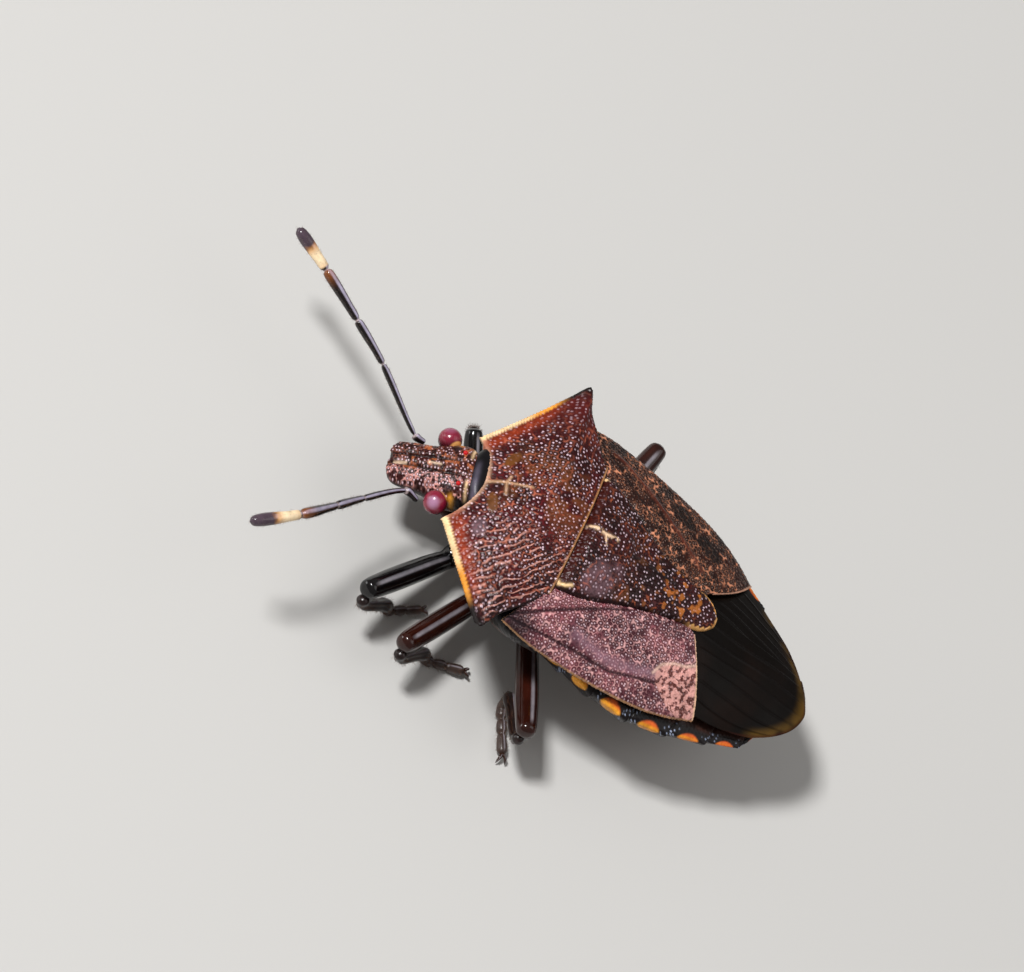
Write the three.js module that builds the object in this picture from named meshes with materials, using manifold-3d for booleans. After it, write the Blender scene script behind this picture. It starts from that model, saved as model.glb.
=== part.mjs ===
// A dark brown shield bug, life size, in millimetres.
// The head points to -Y, the insect's left is +X and up is +Z.
import * as THREE from "three";
import Module from "manifold-3d";

const wasm = await Module();
wasm.setup();

// Driving dimensions.
const humeralHalfWidth = 4.38;
const humeralHeight = 4.49;
const pronotumRear = 1.33;
const scutellumTip = 6.34;
const tongueLean = -0.25;
const membraneEnd = 10.3;
const plateThickness = 0.5;
const plateGap = 0.2;
const bellyHeight = 1.2;
const headYaw = THREE.MathUtils.degToRad(11);
const headPitch = THREE.MathUtils.degToRad(33.6);
const headTop = new THREE.Vector3(-0.176, -2.208, 3.634);
const headLength = 2.155;
const eyeRadius = 0.34;
const legSides = 10;
const footRadius = 0.17;
const kneeGap = 0.1;

const group = new THREE.Group();
const v3 = (x, y, z) => new THREE.Vector3(x, y, z);
const mix = THREE.MathUtils.lerp;
const smooth = (a, b, x) => THREE.MathUtils.smoothstep(x, a, b);

// Value of a table of [position, value] rows at a position, rounded off by a cubic.
function profile(rows, at) {
  const last = rows.length - 1;
  if (at <= rows[0][0]) {
    return rows[0][1];
  }
  if (at >= rows[last][0]) {
    return rows[last][1];
  }
  const k = rows.findIndex((row) => row[0] > at) - 1;
  const [x0, y0] = rows[k];
  const [x1, y1] = rows[k + 1];
  const before = rows[Math.max(0, k - 1)];
  const after = rows[Math.min(last, k + 2)];
  const span = x1 - x0;
  const t = (at - x0) / span;
  const slope0 = ((y1 - before[1]) / (x1 - before[0])) * span;
  const slope1 = ((after[1] - y0) / (after[0] - x0)) * span;
  const t2 = t * t;
  const t3 = t2 * t;
  const start = (2 * t3 - 3 * t2 + 1) * y0 + (t3 - 2 * t2 + t) * slope0;
  return start + (3 * t2 - 2 * t3) * y1 + (t3 - t2) * slope1;
}

// Geometry from points and triangles, turned so that its faces point out.
function closed(points, triangles) {
  let volume = 0;
  const cross = new THREE.Vector3();
  for (const [a, b, c] of triangles) {
    volume += cross.crossVectors(points[b], points[c]).dot(points[a]);
  }
  const turned = volume < 0 ? triangles.map(([a, b, c]) => [a, c, b]) : triangles;
  const geometry = new THREE.BufferGeometry();
  geometry.setAttribute("position", new THREE.Float32BufferAttribute(points.flatMap((p) => p.toArray()), 3));
  geometry.setIndex(turned.flat());
  return geometry;
}

// Plate with two alike faces: point(u, v) gives x, y, top and under.
function plate(across, along, point) {
  const points = [];
  const triangles = [];
  const columns = across + 1;
  const rows = along + 1;
  for (const face of ["top", "under"]) {
    for (let j = 0; j < rows; j += 1) {
      for (let i = 0; i < columns; i += 1) {
        const p = point(i / across, j / along);
        points.push(v3(p.x, p.y, p[face]));
      }
    }
  }
  const at = (face, i, j) => face * columns * rows + j * columns + i;
  for (let j = 0; j < along; j += 1) {
    for (let i = 0; i < across; i += 1) {
      triangles.push([at(0, i, j), at(0, i + 1, j), at(0, i + 1, j + 1)]);
      triangles.push([at(0, i, j), at(0, i + 1, j + 1), at(0, i, j + 1)]);
      triangles.push([at(1, i, j), at(1, i + 1, j + 1), at(1, i + 1, j)]);
      triangles.push([at(1, i, j), at(1, i, j + 1), at(1, i + 1, j + 1)]);
    }
  }
  const wall = (a, b) => {
    triangles.push([at(0, ...b), at(0, ...a), at(1, ...a)]);
    triangles.push([at(0, ...b), at(1, ...a), at(1, ...b)]);
  };
  for (let i = 0; i < across; i += 1) {
    wall([i, 0], [i + 1, 0]);
    wall([i + 1, along], [i, along]);
  }
  for (let j = 0; j < along; j += 1) {
    wall([across, j], [across, j + 1]);
    wall([0, j + 1], [0, j]);
  }
  return closed(points, triangles);
}

// Skin over a row of rings with the same number of points, closed at both ends.
function loft(rings) {
  const count = rings[0].length;
  const points = rings.flat();
  const triangles = [];
  for (let j = 0; j < rings.length - 1; j += 1) {
    for (let i = 0; i < count; i += 1) {
      const a = j * count + i;
      const b = j * count + ((i + 1) % count);
      triangles.push([a, b, b + count], [a, b + count, a + count]);
    }
  }
  const centre = (ring) => ring.reduce((sum, p) => sum.add(p), v3(0, 0, 0)).divideScalar(count);
  const first = points.push(centre(rings[0])) - 1;
  const last = points.push(centre(rings[rings.length - 1])) - 1;
  const end = (rings.length - 1) * count;
  for (let i = 0; i < count; i += 1) {
    const next = (i + 1) % count;
    triangles.push([first, next, i], [last, end + i, end + next]);
  }
  return closed(points, triangles);
}

// Round limb along a path of [point, radius] rows, with rounded ends.
function limb(path, sides = legSides, flat = 1) {
  const start = path[0][0];
  const end = path[path.length - 1][0];
  const into = path[1][0].clone().sub(start).normalize();
  const out = end.clone().sub(path[path.length - 2][0]).normalize();
  const r0 = path[0][1];
  const r1 = path[path.length - 1][1];
  const rows = [
    [start.clone(), r0 * 0.5],
    [start.clone().addScaledVector(into, r0 * 0.25), r0 * 0.85],
    [start.clone().addScaledVector(into, r0 * 0.7), r0],
    ...path.slice(1, -1),
    [end.clone().addScaledVector(out, -r1 * 0.7), r1],
    [end.clone().addScaledVector(out, -r1 * 0.25), r1 * 0.85],
    [end.clone(), r1 * 0.5],
  ];
  const rings = rows.map(([centre, radius], k) => {
    const ahead = rows[Math.min(k + 1, rows.length - 1)][0];
    const behind = rows[Math.max(k - 1, 0)][0];
    const along = ahead.clone().sub(behind).normalize();
    const side = v3(0, 0, 1).cross(along).normalize();
    const up = along.clone().cross(side);
    return Array.from({ length: sides }, (unused, i) => {
      const angle = (2 * Math.PI * i) / sides;
      const p = centre.clone().addScaledVector(side, radius * Math.cos(angle));
      return p.addScaledVector(up, radius * flat * Math.sin(angle));
    });
  });
  return loft(rings);
}

// Rounded ball with three radii, turned by a matrix of its axes.
function ball(centre, radii, axes, detail = 12) {
  const geometry = new THREE.SphereGeometry(1, detail * 2, detail);
  const basis = new THREE.Matrix4().makeBasis(axes[0], axes[1], axes[2]);
  basis.multiply(new THREE.Matrix4().makeScale(radii[0], radii[1], radii[2]));
  basis.setPosition(centre);
  return geometry.applyMatrix4(basis);
}

// Solid of a geometry, with its equal points joined.
function solid(geometry) {
  const position = geometry.getAttribute("position");
  const keys = new Map();
  const points = [];
  const remap = [];
  for (let i = 0; i < position.count; i += 1) {
    const p = [position.getX(i), position.getY(i), position.getZ(i)];
    const key = p.map((c) => Math.round(c * 1e4)).join();
    if (!keys.has(key)) {
      keys.set(key, points.length / 3);
      points.push(...p);
    }
    remap.push(keys.get(key));
  }
  const corners = geometry.index ? Array.from(geometry.index.array) : position.array.map((c, i) => i);
  const triangles = [];
  for (let i = 0; i < corners.length; i += 3) {
    const [a, b, c] = [remap[corners[i]], remap[corners[i + 1]], remap[corners[i + 2]]];
    if (a !== b && b !== c && a !== c) {
      triangles.push(a, b, c);
    }
  }
  return new wasm.Manifold(
    new wasm.Mesh({
      numProp: 3,
      vertProperties: new Float32Array(points),
      triVerts: new Uint32Array(triangles),
    }),
  );
}

// Joined geometry of the added pieces less the cut pieces, keeping only the largest body.
function joined(added, cut = []) {
  let body = wasm.Manifold.union(added.map(solid));
  if (cut.length > 0) {
    body = body.subtract(wasm.Manifold.union(cut.map(solid)));
  }
  const pieces = body.decompose().sort((a, b) => b.volume() - a.volume());
  const mesh = pieces[0].getMesh();
  const geometry = new THREE.BufferGeometry();
  geometry.setAttribute("position", new THREE.Float32BufferAttribute(mesh.vertProperties, 3));
  geometry.setIndex(Array.from(mesh.triVerts));
  return geometry;
}

const colours = {
  shell: [0x4a2c20, 0.42],
  wing: [0x5b3a33, 0.45],
  membrane: [0x1d120e, 0.25],
  eye: [0x7a2430, 0.2],
  leg: [0x1e1210, 0.28],
  feeler: [0x1c1518, 0.35],
  belly: [0x2c211c, 0.5],
};

// Adds a named mesh in the material of its kind.
function add(name, kind, geometry) {
  const [color, roughness] = colours[kind];
  const mesh = new THREE.Mesh(geometry, new THREE.MeshStandardMaterial({ color, roughness, metalness: 0 }));
  mesh.name = name;
  group.add(mesh);
}

// Half width of the scutellum at a length along the body.
const scutellumWidth = (y) =>
  profile(
    [
      [1.3, 2.08],
      [2.0, 1.92],
      [2.6, 1.7],
      [3.2, 1.38],
      [3.7, 1.14],
      [4.45, 0.87],
      [5.25, 0.68],
      [5.8, 0.57],
      [6.1, 0.42],
      [scutellumTip, 0.12],
    ],
    y,
  );

// The tongue leans a little to the insect's right towards its tip.
const lean = (y) => tongueLean * smooth(3.2, 6.2, y);

// Height of the back's ridge line, from the pronotum's front to the end of the membrane.
const ridge = (y) =>
  profile(
    [
      [-1.9, 3.92],
      [-1.0, 4.34],
      [0, 4.75],
      [1.3, 4.98],
      [2.5, 4.92],
      [4.4, 4.68],
      [6.2, 4.46],
      [8, 4.08],
      [membraneEnd, 3.6],
    ],
    y,
  );

// Half width and height of the wing's outer edge.
const wingEdge = (y) =>
  profile(
    [
      [0.6, 3.55],
      [1.5, 3.66],
      [2.8, 3.62],
      [4.3, 3.46],
      [5.5, 3.22],
      [6.4, 2.88],
      [7.2, 2.46],
      [8.14, 2.2],
      [8.8, 1.86],
      [9.3, 1.52],
      [9.8, 1.12],
      [10.1, 0.76],
      [membraneEnd, 0.3],
    ],
    y,
  );
const wingEdgeHeight = (y) =>
  profile(
    [
      [0.6, 4.15],
      [2.8, 4.02],
      [5.5, 3.92],
      [7.2, 3.8],
      [8.8, 3.56],
      [membraneEnd, 3.5],
    ],
    y,
  );

// Height of the back at a place: an arch across the body from the ridge line down to the edge.
function back(x, y) {
  const across = Math.min(1, Math.abs(x) / wingEdge(y));
  return mix(ridge(y), wingEdgeHeight(y), across ** 2.2);
}

// Pronotum: the front margin's notch, straight front sides, sharp humeral tips and a straight rear margin.
const tipAt = 0.6;
const pronotumSide = (v) => ({
  x: profile([[0, 1.48], [0.2, 2.3], [0.4, 3.15], [0.53, 3.95], [tipAt, humeralHalfWidth], [0.68, 3.78], [0.8, 3.15], [0.9, 2.66], [1, 2.3]], v),
  y: profile([[0, -2.01], [0.2, -1.42], [0.4, -0.84], [0.53, -0.33], [tipAt, 0], [0.68, 0.3], [0.8, 0.78], [0.9, 1.12], [1, 1.4]], v),
  z: profile([[0, 3.5], [0.2, 3.7], [0.4, 3.96], [0.53, 4.24], [tipAt, humeralHeight], [0.68, 4.46], [0.8, 4.5], [0.9, 4.56], [1, 4.66]], v),
});
add(
  "pronotum",
  "shell",
  plate(30, 20, (u, v) => {
    const side = pronotumSide(v);
    const across = 2 * u - 1;
    const far = Math.abs(across);
    const middle = mix(-1.5, pronotumRear, v);
    const y = mix(middle, side.y, far ** 1.8);
    const crown = mix(ridge(middle) - 0.16 * smooth(0.14, 0, v), side.z, far ** 1.9);
    const thick = plateThickness * mix(1, 0.8, far ** 4) * mix(0.86, 1, smooth(0, 0.2, v));
    return { x: across * side.x, y, top: crown, under: crown - thick };
  }),
);

// Scutellum: broad base, narrowing to a long rounded tongue.
add(
  "scutellum",
  "shell",
  plate(16, 20, (u, v) => {
    const across = 2 * u - 1;
    const start = pronotumRear + plateGap + 0.06 * Math.abs(across);
    const y = mix(start, scutellumTip, 1 - (1 - v) ** 1.15);
    const x = across * scutellumWidth(y);
    const crown = ridge(y) + 0.04 - 0.22 * (Math.abs(x) / 2.1) ** 2 - 0.06 * across ** 4;
    return { x: x + lean(y), y, top: crown, under: crown - plateThickness };
  }),
);

// Leathery part of a wing, between the scutellum and the side of the body: side 1 is left, -1 right.
const coriumInner = (v, side) => {
  const y = mix(1.78, 5.88, v);
  return { x: side * (scutellumWidth(y) + plateGap) + lean(y), y };
};
const coriumOuter = (v, side) => {
  const y = mix(0.98, 7.15, v ** 1.05);
  return { x: side * wingEdge(y), y };
};
const rearBulge = (side) => (side > 0 ? 0.03 : 0.16);
const corium = (side) =>
  plate(13, 20, (u, v) => {
    const inner = coriumInner(v, side);
    const outer = coriumOuter(v, side);
    const x = mix(inner.x, outer.x, u);
    const bulge = rearBulge(side) * Math.sin(Math.PI * u) * smooth(0.75, 1, v);
    const y = mix(inner.y, outer.y, u) + bulge;
    const groove = 0.05 * Math.exp(-(((u - 0.3 + 0.2 * v) / 0.06) ** 2));
    const top = back(x, y) - 0.02 - groove * smooth(1, 0.8, v);
    return { x, y, top, under: top - mix(plateThickness, 0.44, u ** 6) };
  });
add("corium_left", "wing", corium(1));
add("corium_right", "wing", corium(-1));

// Rear line of the leathery parts: the membrane starts a gap behind it.
function coriumRear(x) {
  const side = x > tongueLean ? 1 : -1;
  const inner = coriumInner(1, side);
  const outer = coriumOuter(1, side);
  const u = Math.min(1, (x - inner.x) / (outer.x - inner.x));
  if (u < 0) {
    return scutellumTip + plateGap * 0.4;
  }
  return mix(inner.y, outer.y, u) + rearBulge(side) * Math.sin(Math.PI * u);
}

// Glassy end of a wing, with its long veins raised as ridges along every fourth column.
const veinHeight = 0.05;
function membrane(across, along, leftSide, rightSide) {
  const veins = 4;
  return plate(across, along, (u, v) => {
    const startX = mix(rightSide(0), leftSide(0), u);
    const beside = Math.abs(startX - tongueLean);
    const startY = coriumRear(startX) + plateGap + 0.1 * smooth(0.4, 0.6, beside) * smooth(1, 0.8, beside);
    const endX = mix(rightSide(1), leftSide(1), u);
    const endY = membraneEnd - 1.15 * (endX / 1.55) ** 2;
    const y = mix(startY, endY, v);
    const x = mix(rightSide(v), leftSide(v), u);
    const column = Math.round(u * across);
    const vein = column % veins === 0 && column > 0 && column < across ? veinHeight * Math.sin(Math.PI * Math.min(1, v * 1.1)) : 0;
    const top = back(x, y) - 0.06 + vein;
    return { x, y, top, under: top - vein - 0.42 };
  });
}
const membraneEdge = (v) => profile([[0, 2.36], [0.3, 2.22], [0.6, 1.95], [0.85, 1.66], [1, 1.4]], v);
const overlapLine = (v) => mix(-0.55, -0.98, v);
add("membrane_left", "membrane", membrane(20, 12, membraneEdge, overlapLine));
add("membrane_right", "membrane", membrane(8, 12, (v) => overlapLine(v) - 0.14, (v) => -membraneEdge(v)));

// Ring round the body: an arched top and a deep keel-like underside.
function bodyRing(y, halfWidth, edge, top, bottom, count = 30) {
  return Array.from({ length: count }, (unused, i) => {
    const angle = (2 * Math.PI * i) / count;
    const lift = Math.abs(Math.sin(angle));
    const x = halfWidth * Math.cos(angle);
    const z = Math.sin(angle) > 0 ? edge + (top - edge) * lift ** 0.9 : edge - (edge - bottom) * lift ** 1.35;
    return v3(x, y, z);
  });
}

// Thorax: the underside of the front of the body, with its sides under the pronotum.
add(
  "thorax",
  "belly",
  loft([
    bodyRing(-1.3, 0.62, 3.3, 3.5, 3.1),
    bodyRing(-1.05, 1.15, 3.12, 3.52, 2.72),
    bodyRing(-0.85, 1.55, 3.05, 3.5, 2.1),
    bodyRing(-0.4, 2.25, 3.15, 3.62, 1.45),
    bodyRing(0.3, 2.95, 3.3, 3.85, bellyHeight),
    bodyRing(1.2, 3.3, 3.35, 3.95, bellyHeight),
    bodyRing(2.2, 3.22, 3.22, 4.05, bellyHeight),
  ]),
);

// Abdomen: its edge stands out beyond the wings and ends each segment in a small tooth.
const segmentEnds = [3.2, 4.2, 5.5, 6.8, 8.03, 9.05];
const abdomenWidth = (y) =>
  profile([[2.4, 3.16], [3.2, 3.26], [4.2, 3.42], [5.5, 3.42], [6.8, 3.02], [8.03, 2.42], [9.05, 1.78], [9.35, 1.2]], y);
const abdomenEdge = (y) => profile([[2.4, 3.2], [5.5, 3.18], [7.2, 3.02], [9.35, 2.8]], y);
const abdomenTop = (y) => profile([[2.4, 4.05], [5.5, 3.78], [7.2, 3.4], [8.3, 3.1], [9.35, 2.9]], y);
const abdomenBottom = (y) => profile([[2.4, bellyHeight], [5, 1.25], [7.5, 1.6], [9.35, 2.4]], y);
const toothSize = 0.11;
const abdomenRows = [2.42];
for (const end of segmentEnds) {
  const before = abdomenRows[abdomenRows.length - 1];
  abdomenRows.push(mix(before, end, 0.35), mix(before, end, 0.75), end, end + 0.07);
}
abdomenRows.push(9.32);
add(
  "abdomen",
  "belly",
  loft(
    abdomenRows.map((y) => {
      const tooth = segmentEnds.includes(y) ? toothSize : 0;
      return bodyRing(y, abdomenWidth(y) + tooth, abdomenEdge(y), abdomenTop(y), abdomenBottom(y));
    }),
  ),
);

// Head: parallel-sided, tilted down and turned a little to its left, with a notched front.
const level = v3(Math.sin(headYaw), -Math.cos(headYaw), 0);
const forward = level.clone().multiplyScalar(Math.cos(headPitch)).addScaledVector(v3(0, 0, 1), -Math.sin(headPitch));
const upward = level.clone().multiplyScalar(Math.sin(headPitch)).addScaledVector(v3(0, 0, 1), Math.cos(headPitch));
const sideways = upward.clone().cross(forward);
const headAt = (along, side, up) =>
  headTop.clone().addScaledVector(forward, along).addScaledVector(sideways, side).addScaledVector(upward, up);
const headRows = [
  [-0.3, 0.76, 0.1, 1.12],
  [-0.08, 0.92, 0.02, 1.35],
  [0.15, 0.96, 0, 1.42],
  [0.5, 0.93, 0, 1.42],
  [0.85, 0.8, 0, 1.25],
  [1.2, 0.73, 0, 1.0],
  [1.62, 0.7, 0, 0.78],
  [1.93, 0.64, 0.02, 0.62],
  [headLength - 0.06, 0.5, 0.07, 0.48],
  [headLength, 0.34, 0.14, 0.36],
];
const headShell = loft(
  headRows.map(([along, half, drop, depth]) =>
    Array.from({ length: 32 }, (unused, i) => {
      const angle = (2 * Math.PI * i) / 32;
      const side = half * Math.sign(Math.cos(angle)) * Math.abs(Math.cos(angle)) ** 0.8;
      const middle = -drop - depth / 2;
      const up = middle + (depth / 2) * Math.sign(Math.sin(angle)) * Math.abs(Math.sin(angle)) ** 0.85;
      return headAt(along, side, up);
    }),
  ),
);
const eyeCentre = (side) => headAt(0.6, side * 1.03, -0.4);
const headAxes = [forward, sideways, upward];
const ocellus = (side) => ball(headAt(0.02, side * 0.5, -0.06), [0.1, 0.1, 0.1], headAxes, 6);
const notch = ball(headAt(headLength + 0.05, 0, -0.3), [0.16, 0.06, 0.5], headAxes, 6);
const sockets = [1, -1].map((side) => ball(eyeCentre(side), [eyeRadius + 0.12, eyeRadius + 0.12, eyeRadius + 0.16], headAxes, 10));
add("head", "shell", joined([headShell, ocellus(1), ocellus(-1)], [notch, ...sockets]));
for (const [name, side] of [["eye_left", 1], ["eye_right", -1]]) {
  add(name, "eye", joined([ball(eyeCentre(side), [eyeRadius, eyeRadius, eyeRadius * 1.1], headAxes, 9)]));
}

// Beak folded under the head and back between the legs.
add(
  "beak",
  "belly",
  limb([
    [headAt(1.8, 0, -1.06), 0.2],
    [headAt(1.1, 0, -1.52), 0.2],
    [v3(0, -0.9, 1.3), 0.19],
    [v3(0, 0.2, 0.75), 0.17],
    [v3(0, 1.4, 0.74), 0.15],
  ]),
);

// Feelers: five joints each, thin at first and thicker towards the end.
const feelerRadii = [0.12, 0.11, 0.13, 0.16, 0.2];
function feeler(joints) {
  const pieces = [];
  for (let k = 0; k < joints.length - 1; k += 1) {
    const from = joints[k];
    const to = joints[k + 1];
    const radius = feelerRadii[k];
    const at = (t) => from.clone().lerp(to, t);
    pieces.push(
      limb(
        [
          [at(-0.02), radius * 0.72],
          [at(0.3), radius * 0.86],
          [at(0.72), radius * 1.12],
          [at(1.03), radius * (k === joints.length - 2 ? 0.6 : 0.9)],
        ],
        8,
      ),
    );
  }
  return joined(pieces);
}
add(
  "antenna_right",
  "feeler",
  feeler([headAt(1.35, -0.95, -0.62), v3(-0.95, -3.52, 2.42), v3(-1.93, -5.45, 2.98), v3(-2.5, -6.75, 3.2), v3(-3.14, -8.28, 3.42), v3(-3.62, -9.6, 3.6)]),
);
add(
  "antenna_left",
  "feeler",
  feeler([headAt(1.15, 0.97, -0.55), v3(0.96, -3.14, 2.7), v3(2.33, -4.29, 3.25), v3(3.39, -5.06, 3.78), v3(4.69, -6.04, 4.4), v3(5.76, -7.22, 4.3)]),
);

// One leg: coxa and thigh, shin and foot, from the hip, knee, ankle and toe.
function leg(name, hip, knee, ankle, toe, thick) {
  const rise = knee.clone().sub(hip);
  const thigh = rise.clone().normalize();
  const fold = ankle.clone().sub(knee).projectOnPlane(thigh).normalize();
  const shinStart = knee.clone().addScaledVector(thigh, -0.1).addScaledVector(fold, thick * 1.36 + kneeGap);
  const shin = ankle.clone().sub(shinStart);
  add(
    `${name}_thigh`,
    "leg",
    joined([
      limb([
        [hip.clone().add(v3(0, 0, -0.02)), thick * 0.95],
        [hip.clone().addScaledVector(rise, 0.12), thick * 0.7],
        [hip.clone().addScaledVector(rise, 0.3), thick * 0.95],
        [hip.clone().addScaledVector(rise, 0.65), thick * 1.05],
        [hip.clone().addScaledVector(rise, 0.9), thick * 0.92],
        [knee, thick * 0.8],
      ]),
    ]),
  );
  add(
    `${name}_shin`,
    "leg",
    limb([
      [shinStart, thick * 0.56],
      [shinStart.clone().addScaledVector(shin, 0.3), thick * 0.54],
      [shinStart.clone().addScaledVector(shin, 0.75), thick * 0.56],
      [ankle, thick * 0.66],
    ]),
  );
  const run = toe.clone().sub(ankle);
  const low = v3(0, 0, footRadius);
  const sole = ankle.clone().add(v3(0, 0, -ankle.z)).add(low);
  const foot = limb(
    [
      [sole.clone().addScaledVector(run, 0.16), footRadius],
      [sole.clone().addScaledVector(run, 0.5).setZ(footRadius), footRadius * 0.92],
      [toe.clone().setZ(footRadius), footRadius],
    ],
    10,
  );
  const heading = run.clone().setZ(0).normalize();
  const beside = v3(-heading.y, heading.x, 0);
  const claws = [1, -1].map((side) =>
    limb(
      [
        [toe.clone().setZ(footRadius * 1.2).addScaledVector(heading, -0.08), 0.07],
        [toe.clone().setZ(footRadius * 1.1).addScaledVector(heading, 0.14).addScaledVector(beside, side * 0.1), 0.06],
        [toe.clone().setZ(0.05).addScaledVector(heading, 0.26).addScaledVector(beside, side * 0.16), 0.035],
      ],
      6,
    ),
  );
  add(`${name}_foot`, "leg", joined([foot, ...claws]));
}
leg("fore_left", v3(0.8, -0.55, 0.92), v3(4.06, -2.74, 2.1), v3(3.1, -1.5, 0.62), v3(2.3, -0.4, 0.2), 0.33);
leg("mid_left", v3(1.0, 0.95, 0.86), v3(4.86, -1.08, 2.1), v3(3.7, 0.1, 0.62), v3(3.2, 1.5, 0.2), 0.33);
leg("hind_left", v3(1.0, 2.4, 0.86), v3(5.1, 3.28, 2.3), v3(3.25, 2.9, 0.62), v3(4.76, 3.6, 0.2), 0.33);
leg("fore_right", v3(-0.8, -0.55, 0.92), v3(-2.73, -1.83, 1.8), v3(-3.45, -1.45, 0.62), v3(-3.3, -0.15, 0.2), 0.28);
leg("mid_right", v3(-1.0, 0.95, 0.86), v3(-3.95, 0.6, 2.2), v3(-3.4, 1.5, 0.62), v3(-3.0, 2.9, 0.2), 0.33);
leg("hind_right", v3(-1.0, 2.4, 0.86), v3(-5.58, 3.33, 2.4), v3(-3.5, 3.4, 0.62), v3(-3.8, 5.0, 0.2), 0.33);

// The origin is the middle of the base.
const box = new THREE.Box3().setFromObject(group);
const middle = box.getCenter(v3(0, 0, 0));
group.position.set(-middle.x, -middle.y, -box.min.z);
group.updateMatrixWorld(true);

export default group;
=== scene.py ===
import bpy
import math
import numpy as np
from mathutils import Matrix, Vector


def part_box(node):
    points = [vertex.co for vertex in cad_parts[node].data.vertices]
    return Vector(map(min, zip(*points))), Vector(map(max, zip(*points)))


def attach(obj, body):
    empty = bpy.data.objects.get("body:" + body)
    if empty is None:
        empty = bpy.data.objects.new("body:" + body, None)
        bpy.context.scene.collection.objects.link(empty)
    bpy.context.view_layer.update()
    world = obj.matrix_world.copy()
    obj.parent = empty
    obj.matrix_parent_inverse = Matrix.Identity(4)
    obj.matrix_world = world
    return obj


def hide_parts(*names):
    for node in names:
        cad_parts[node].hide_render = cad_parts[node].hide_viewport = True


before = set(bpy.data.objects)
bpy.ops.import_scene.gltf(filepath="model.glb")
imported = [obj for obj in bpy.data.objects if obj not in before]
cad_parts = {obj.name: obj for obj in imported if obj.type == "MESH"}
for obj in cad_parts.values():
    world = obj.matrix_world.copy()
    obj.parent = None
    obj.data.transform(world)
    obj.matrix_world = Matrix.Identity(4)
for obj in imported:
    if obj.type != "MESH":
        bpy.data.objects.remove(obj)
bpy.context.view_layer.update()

# The body is worked out in millimetres: head to -Y, its left to +X, feet at zero height.
# The left eye's centre is known in both frames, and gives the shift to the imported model.
headPose = {"top": (-0.176, -2.208, 3.634), "yaw": 11, "pitch": 33.6, "length": 2.155, "eyeRadius": 0.34}
yaw, pitch = math.radians(headPose["yaw"]), math.radians(headPose["pitch"])
level = np.array([math.sin(yaw), -math.cos(yaw), 0.0])
skyward = np.array([0.0, 0.0, 1.0])
forward = level * math.cos(pitch) - skyward * math.sin(pitch)
upward = level * math.sin(pitch) + skyward * math.cos(pitch)
sideways = np.cross(upward, forward)


def headAt(along, side, up):
    # Head's top point, plus three steps along its own axes.
    base = np.asarray(headPose["top"], float)
    return (base + np.multiply.outer(along, forward) + np.multiply.outer(side, sideways)
            + np.multiply.outer(up, upward))


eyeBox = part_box("eye_left")
shift = (np.array(eyeBox[0]) + np.array(eyeBox[1])) * 500.0 - headAt(0.6, 1.03, -0.4)


def linear(code, gain=1.0):
    # Hex colour to linear light.
    parts = np.array([int(code[k:k + 2], 16) / 255 for k in (1, 3, 5)])
    return np.where(parts <= 0.04045, parts / 12.92, ((parts + 0.055) / 1.055) ** 2.4) * gain


def profile(rows, at):
    # Smooth cubic through a table of (position, value) rows.
    table = np.array(rows, float)
    xs, ys = table[:, 0], table[:, 1]
    at = np.clip(np.asarray(at, float), xs[0], xs[-1])
    k = np.clip(np.searchsorted(xs, at, side="right") - 1, 0, len(xs) - 2)
    before, after = np.maximum(k - 1, 0), np.minimum(k + 2, len(xs) - 1)
    span = xs[k + 1] - xs[k]
    t = (at - xs[k]) / span
    slopeA = (ys[k + 1] - ys[before]) / (xs[k + 1] - xs[before]) * span
    slopeB = (ys[after] - ys[k]) / (xs[after] - xs[k]) * span
    t2, t3 = t * t, t * t * t
    return ((2 * t3 - 3 * t2 + 1) * ys[k] + (t3 - 2 * t2 + t) * slopeA
            + (3 * t2 - 2 * t3) * ys[k + 1] + (t3 - t2) * slopeB)


def smooth(low, high, x):
    # Zero below low, one above high, with soft ends.
    t = np.clip((x - low) / (high - low), 0, 1)
    return t * t * (3 - 2 * t)


def mix(a, b, t):
    return a + (b - a) * t


def boxy(wave, power):
    # The wave with its sign kept and its size raised to a power, which squares a circle off.
    return np.sign(wave) * np.abs(wave) ** power


def paint(colour, over, amount):
    # Lays a colour, given as a hex code or an array, over another by an amount from 0 to 1.
    over = linear(over) if isinstance(over, str) else over
    return colour + (over - colour) * np.clip(amount, 0, 1)[..., None]


def layered(colour, layers):
    # Paints the layers one after another, each a colour and its amount.
    for over, amount in layers:
        colour = paint(colour, over, amount)
    return colour


def plain(code, like):
    # One colour for every point of a grid.
    return np.broadcast_to(linear(code), (*like.shape, 3))


def chance(i, j, seed):
    # Repeatable number from 0 to 1 for each whole-number cell.
    n = np.sin(i * 127.1 + j * 311.7 + seed * 74.7) * 43758.5453
    return n - np.floor(n)


def cloud(x, y, size, seed):
    # Value noise: the cell corners' chances blended smoothly, in two octaves.
    total, weight = 0.0, 0.0
    for octave in (1, 2):
        gx, gy = x / size * octave, y / size * octave
        ix, iy = np.floor(gx), np.floor(gy)
        fx, fy = smooth(0, 1, gx - ix), smooth(0, 1, gy - iy)
        low = mix(chance(ix, iy, seed), chance(ix + 1, iy, seed), fx)
        high = mix(chance(ix, iy + 1, seed), chance(ix + 1, iy + 1, seed), fx)
        total, weight = total + mix(low, high, fy) / octave, weight + 1 / octave
    return total / weight


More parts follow.
